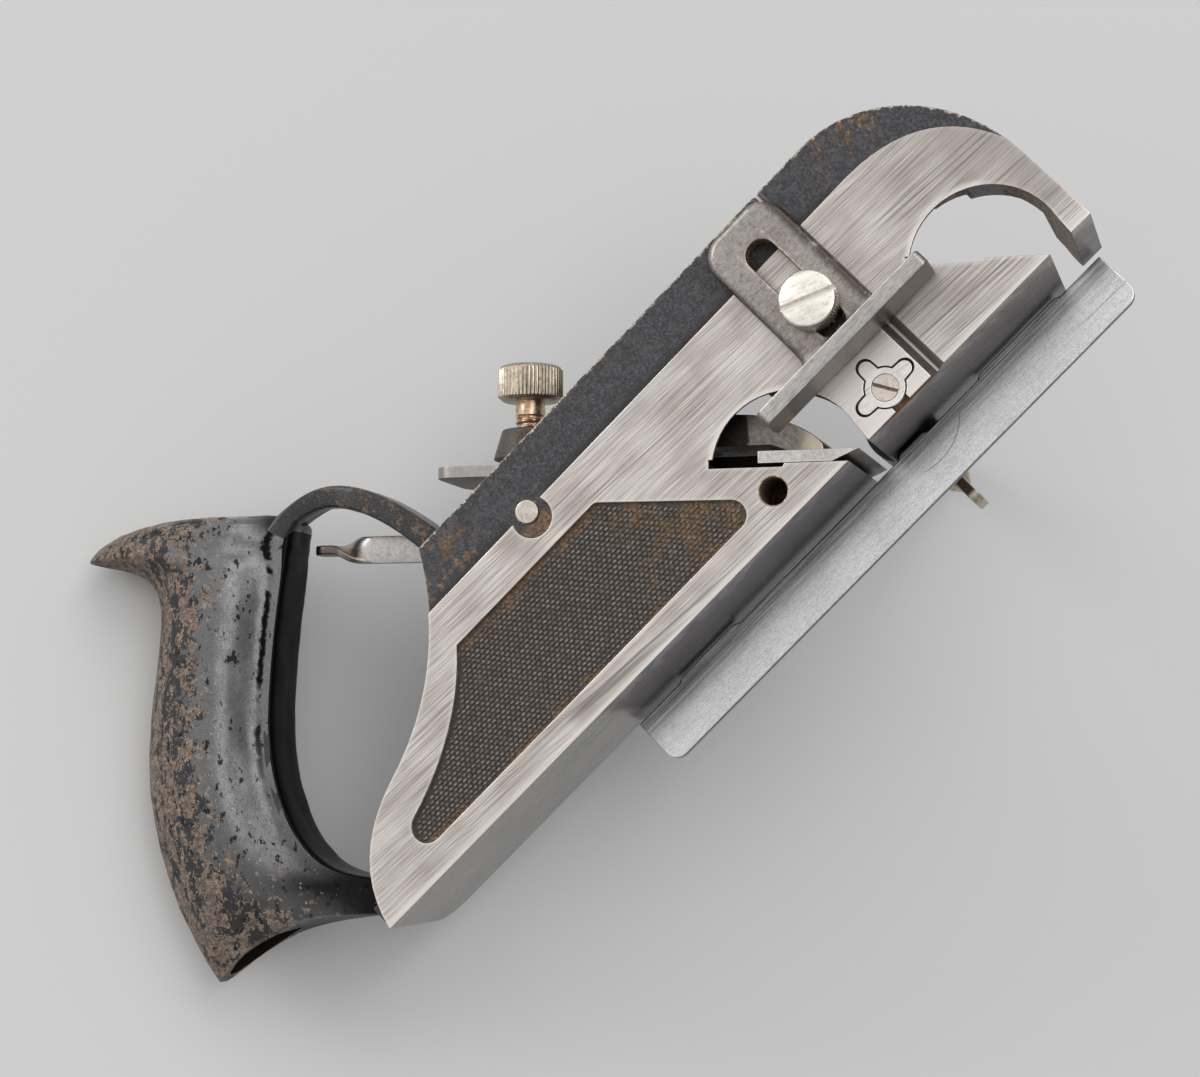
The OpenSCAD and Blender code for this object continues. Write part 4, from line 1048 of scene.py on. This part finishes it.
copper = steel(
    "copper_neck", (0.3, 0.185, 0.12), (0.6, 0.41, 0.28), (0.85, 0.66, 0.5),
    (0.28, 0.4), (1, 1, 1), 0.7, 0.3, 0.3, 0.4)
# The near side of the narrow part, with painted shade inside the throat
cutter_side_shaded = steel(
    "cutter_side_shaded", *CUTTER_TONES,
    (0.36, 0.5), (1, 0.05, 1), 0.9, 0.6, 0.5, 0.35, narrow_side_shade)
dress("cutter", "cutter", (cutter_steel, cutter_under_shade, cutter_side_shaded), 0.16, cutter_pick)
dress("lever_cap", "stock", (cap_iron, cap_side), 0.4, cap_pick)
dress("lever_cap_stud", "stock", (knob_nickel,), 0.2)


CLAMP_S = 75  # the screw's place up the bed


def build_clamp():
    def place(a, b, h):
        return on_bed(CLAMP_S + a, b, h)

    tooth = knurl(7.3, 54, 0.34)
    head = lathe(((18, 5.9), (18.25, 6.4), (18.8, 7.05), (19, tooth), (25, tooth), (25.3, 7),
                  (25.75, 6.7), (26, 6.2), (26, 5.5), (25.85, 4.9), (25.8, 1)), 324, place)
    screw = thread(3.35, 1.25, 0.5)
    rows = [(2.6, 2.3), (3.2, 2.85)] + [(3.2 + 0.156 * i, screw) for i in range(1, 72)]
    rows += [(14.5, 2.9), (14.9, 3.3), (16.4, 3.35), (17.4, 3.2), (18.6, 3.3)]
    return merge((head, 0), (lathe(rows, 40, place), 1))


redraw("clamp_thumbscrew", build_clamp(), (knob_nickel, copper))


# Adjusting lever: pressed strip with a finger tab twisted flat

TURN_S, ARM_Y, ARM_H = 116.32, 1.3, -14.24  # the middle of the twist, as on_bed takes it
TAB, TAB_ROUND, TAB_HALF = 10, 3.2, 1.1  # the tab's length, end radius and half thickness


def lever_marks(k, colour):
    up = k.up_bed()
    tip = k.step(up, 93, 95.5)
    stain = k.mul(k.inside(up, 90, 94, 1), k.below(k.y, -0.5, 1))
    colour = k.over(colour, (0.25, 0.13, 0.05), stain, 0.5)
    return k.over(colour, (0.075, 0.055, 0.042), tip, 0.85)


pressed = steel(
    "pressed_steel", (0.34, 0.32, 0.3), (0.46, 0.435, 0.42), (0.58, 0.555, 0.54),
    (0.3, 0.42), (1, 1, 1), 0.6, 0.4, 0.5, 0.4, lever_marks)


def build_lever():
    bm = cad_bmesh("adjusting_lever")
    cut = on_bed(TURN_S - 4, 0, 0)
    ops.bisect_plane(bm, geom=bm.verts[:] + bm.edges[:] + bm.faces[:], dist=1e-7, clear_outer=True,
                     plane_co=Vector(cut) * MM, plane_no=(-CB, 0, SB))
    tidy(bm)
    ops.holes_fill(bm, edges=[e for e in bm.edges if len(e.link_faces) == 1], sides=0)
    round_edges(bm, 0.25, 30, 2,
                lambda e: all((v.co / MM - Vector(cut)).dot(Vector((-CB, 0, SB))) > -0.01 for v in e.verts))
    rings = []
    for i in range(41):
        s = mix(TURN_S - 4.2, TURN_S + 9.98, i / 40)
        turn = radians(90) * ease((s - TURN_S + 3.6) / 9)
        wide = mix(3.1, 3.5, ease((s - TURN_S + 1) / 4))
        left = TURN_S + TAB - s
        if left < TAB_ROUND:
            wide *= sqrt(max(0.02, 1 - ((TAB_ROUND - left) / TAB_ROUND) ** 2))
        thin = TAB_HALF if left > 0.5 else TAB_HALF * sqrt(max(0.05, 1 - ((0.5 - left) / 0.5) ** 2))
        ring = []
        for c, d in soft_square(28, 0.3):
            h = wide * c * cos(turn) - thin * d * sin(turn)
            y = wide * c * sin(turn) + thin * d * cos(turn)
            ring.append(on_bed(s, ARM_Y + y, ARM_H + h))
        rings.append(ring)
    return merge((bm, 0), (skin(rings), 0))


redraw("adjusting_lever", build_lever(), (pressed,))

pin_steel = steel(
    "pin_steel", (0.42, 0.375, 0.325), (0.6, 0.55, 0.485), (0.76, 0.71, 0.64),
    (0.3, 0.42), (1, 1, 1), 0.6, 0, 0.3, 0.5)
dress("adjusting_lever_pin", "stock", (pin_steel,), 0.35)


# Depth stop and its screw

stop_steel = steel(
    "stop_steel", (0.19, 0.166, 0.15), (0.31, 0.277, 0.258), (0.43, 0.39, 0.368),
    (0.34, 0.46), (0.3, 1, 1), 0.9, 0, 0.5, 0.3, stop_marks)
foot_steel = steel(
    "foot_steel", (0.3, 0.285, 0.27), (0.42, 0.4, 0.385), (0.55, 0.53, 0.51),
    (0.34, 0.44), (0.1, 1, 1), 0.9, 0.3, 0.6, 0.25)
slot_rust = rusted("slot_rust", 0.4, 0.45, (0.02, 0.014, 0.009))


def stop_pick(c, n):
    if n.y < -0.9 and c.z < 18.2 and c.y < -30:
        return 1
    if abs(c.x - STOP_X) < 3.5 and c.z > 18.5 and abs(n.y) < 0.5 and c.y < -19:
        return 2
    return 0


def stop_roll(ends):
    return all(abs(p.y - STOP_Y) < 0.02 and p.z > 20 and (abs(p.x - STOP_X) > 4 or p.z > 47.5)
               for p in ends)


dress("depth_stop", "depth_stop", (stop_steel, foot_steel, slot_rust), 0.45, stop_pick,
      (1.6, stop_roll))


HEAD_H, SLOT_TURN = 5, radians(24)  # the height of the screw's head and the turn of its slot


def build_stop_screw():
    def place(a, b, h):
        return (STOP_X + a, STOP_Y - h, STOP_Z + b)

    tooth = knurl(6.25, 60, 0.24)
    head = lathe(((0.03, 5.7), (0.3, 5.98), (0.5, tooth), (4.3, tooth), (4.62, 6), (4.9, 5.75), (5, 5.5),
                  (5, 1)), 300, place)
    slot = bmesh.new()
    box = Matrix.Translation(Vector(place(0, 0, HEAD_H)) * MM) @ Matrix.Rotation(SLOT_TURN, 4, "Y")
    ops.create_cube(slot, size=MM, matrix=box @ Matrix.Diagonal((20, 3.2, 1.4, 1)))
    head = carve(head, slot)
    shank = lathe(((-9.1, 2.4), (-8.6, 2.98), (0.2, 3)), 40, place)
    return merge((head, 0), (shank, 0))


redraw("depth_stop_screw", build_stop_screw(), (nickel,))


# Spur

spur_steel = steel(
    "spur_steel", (0.62, 0.58, 0.55), (0.8, 0.76, 0.73), (0.93, 0.9, 0.87),
    (0.3, 0.4), (0.05, 1, 1), 0.9, 0.3, 0.4, 0.3, spin=-9)
spur_nickel = steel(
    "spur_nickel", (0.48, 0.415, 0.36), (0.68, 0.61, 0.545), (0.86, 0.8, 0.735),
    (0.3, 0.42), (1, 1, 1), 0.8, 0.4, 0.3, 0.5)


def spur_lobes(bm):
    for v in bm.verts:
        off = Vector((v.co.x - SPUR_X * MM, 0, v.co.z - SPUR_Z * MM))
        if off.length > 4.35 * MM:
            v.co -= off.normalized() * 0.35 * MM


dress("spur", "stock", (spur_steel,), 0.14, shape=spur_lobes)
slot_brown = rusted("slot_brown", 0.9, 0.5, (0.16, 0.11, 0.075))
dress("spur_screw", "spur_screw", (spur_nickel, slot_brown), 0.12,
      lambda c, n: int(-18.85 < c.y < -17.2 and hypot(c.x - SPUR_X, c.z - SPUR_Z) < 2.6))


# Fence, arm and thumbscrew

fence_steel = steel(
    "fence_steel", (0.58, 0.57, 0.575), (0.72, 0.71, 0.72), (0.85, 0.84, 0.85),
    (0.24, 0.33), (0.02, 1, 1), 1.1, 0, 0.6, 0.3, fence_marks)
fence_edge = steel(
    "fence_edge", (0.1, 0.085, 0.065), (0.19, 0.17, 0.14), (0.3, 0.28, 0.25),
    (0.36, 0.5), (0.05, 1, 1), 1, 0.5, 0.5, 0.4)
fence_back = rusted("fence_back", 0.57, 0.36, (0.014, 0.014, 0.015), 0.7)
arm_steel = steel(
    "arm_steel", (0.36, 0.35, 0.335), (0.48, 0.465, 0.45), (0.6, 0.585, 0.57),
    (0.28, 0.4), (1, 0.05, 1), 0.8, 0.4, 0.5, 0.3)
thumb_steel = steel(
    "thumb_steel", (0.36, 0.3, 0.235), (0.53, 0.455, 0.37), (0.69, 0.61, 0.515),
    (0.4, 0.52), (1, 1, 1), 0.7, 0.5, 0.5, 0.5)


def fence_pick(c, n):
    if n.y < -0.9 and abs(c.y - 12) < 0.1:
        return 0
    if 11.9 < c.y < 17.1 and (abs(n.z) > 0.3 or abs(n.x) > 0.5) and c.z < 0:
        return 1
    return 2


def fence_reliefs(bm):
    for v in bm.verts:
        if v.co.y < 17.1 * MM and abs(v.co.z + 1.7 * MM) < 0.05 * MM:
            v.co.z = -1.3 * MM


dress("fence", "fence", (fence_steel, fence_edge, fence_back), 0.35, fence_pick,
      shape=fence_reliefs)
dress("fence_arm", "stock", (arm_steel,), 0.3)
dress("fence_thumbscrew", "fence_thumbscrew", (thumb_steel,), 0.3)


# Stage, light and camera

def stage_plane(name, corners, grey, mirrored):
    """A plane seen from one side only, which takes the part's shadow and casts none."""
    mesh = bpy.data.meshes.new(name)
    mesh.from_pydata(corners, [], [(0, 1, 2, 3)])
    obj = new_object(name, mesh)
    mat = bpy.data.materials.new(name)
    tree = empty_tree(mat)
    behind = new_node(tree, "NewGeometry").outputs["Backfacing"]
    solid = new_node(tree, "BsdfDiffuse", {"Color": (grey, grey, grey)}).outputs[0]
    clear = new_node(tree, "BsdfTransparent").outputs[0]
    both = new_node(tree, "MixShader", {0: behind, 1: solid, 2: clear}).outputs[0]
    new_node(tree, "OutputMaterial", {"Surface": both})
    mesh.materials.append(mat)
    obj.visible_shadow = obj.visible_diffuse = False
    obj.visible_glossy = obj.visible_transmission = mirrored


# The table lies against the arm's end, the grip's flank and the horn, as the part lies in the photograph.
TABLE = Vector((-0.382, 0.893, 0.237)).normalized()
TABLE_AT = TABLE * 0.0731
SIDE = TABLE.cross(Vector((0, 0, 1))).normalized()
RISE = SIDE.cross(TABLE)
REACH = 4
FLOOR_Z, FLOOR_REACH = -0.0176, 20
CORNERS = ((-1, -1), (1, -1), (1, 1), (-1, 1))
stage_plane("table", [TABLE_AT + SIDE * a * REACH + RISE * b * REACH for a, b in CORNERS], 0.69, True)
stage_plane("floor", [(a * FLOOR_REACH, b * FLOOR_REACH, FLOOR_Z) for a, b in CORNERS], 0.62, False)

world = bpy.data.worlds.new("studio")
scene.world = world
tree = empty_tree(world)
SKY = (-0.05, -0.53, 0.8465)  # direction of the brightest sky
sky = new_node(tree, "TexCoord").outputs["Generated"]
aim = new_node(tree, "VectorMath", {0: sky, 1: SKY}, operation="DOT_PRODUCT").outputs["Value"]
fade = {"Value": aim, "From Min": 0.05, "From Max": 0.6, "To Min": 0.42, "To Max": 1.12}
glow = new_node(tree, "MapRange", fade, interpolation_type="SMOOTHSTEP").outputs[0]
lit = new_node(tree, "Background", {"Strength": glow}).outputs[0]
new_node(tree, "OutputWorld", {"Surface": lit})


def lamp(name, place, aim_at, size, power):
    data = bpy.data.lights.new(name, "AREA")
    data.shape = "DISK"
    data.size = size
    data.energy = power
    obj = new_object(name, data)
    obj.location = place
    obj.rotation_mode = "QUATERNION"
    obj.rotation_quaternion = (Vector(aim_at) - Vector(place)).to_track_quat("-Z", "Y")


MIDDLE = (-0.02, 0, 0.05)
lamp("key", (-0.8, -2.4, 3.2), MIDDLE, 2, 40)
lamp("fill", (3.2, -2.3, 0.3), MIDDLE, 2.6, 30)
lamp("front", (1.12, -2.05, -0.68), (-0.1, 0, 0.06), 1.3, 9)
lamp("far", (0.5, 2.6, 1.7), MIDDLE, 2.4, 26)

cam_data = bpy.data.cameras.new("camera")
cam_data.sensor_fit = "HORIZONTAL"
cam_data.sensor_width = 36
cam_data.lens = 71.4385
cam_data.clip_start = 0.01
cam = new_object("camera", cam_data)
right = (0.689014, 0.272393, -0.671611)
up = (0.713688, -0.093737, 0.694163)
back = (0.12613, -0.957609, -0.258989)
turn = Matrix((right, up, back)).transposed().to_4x4()
cam.matrix_world = Matrix.Translation((0.050135, -0.502911, -0.104194)) @ turn
scene.camera = cam
scene.view_settings.view_transform = "Standard"

bpy.context.view_layer.update()
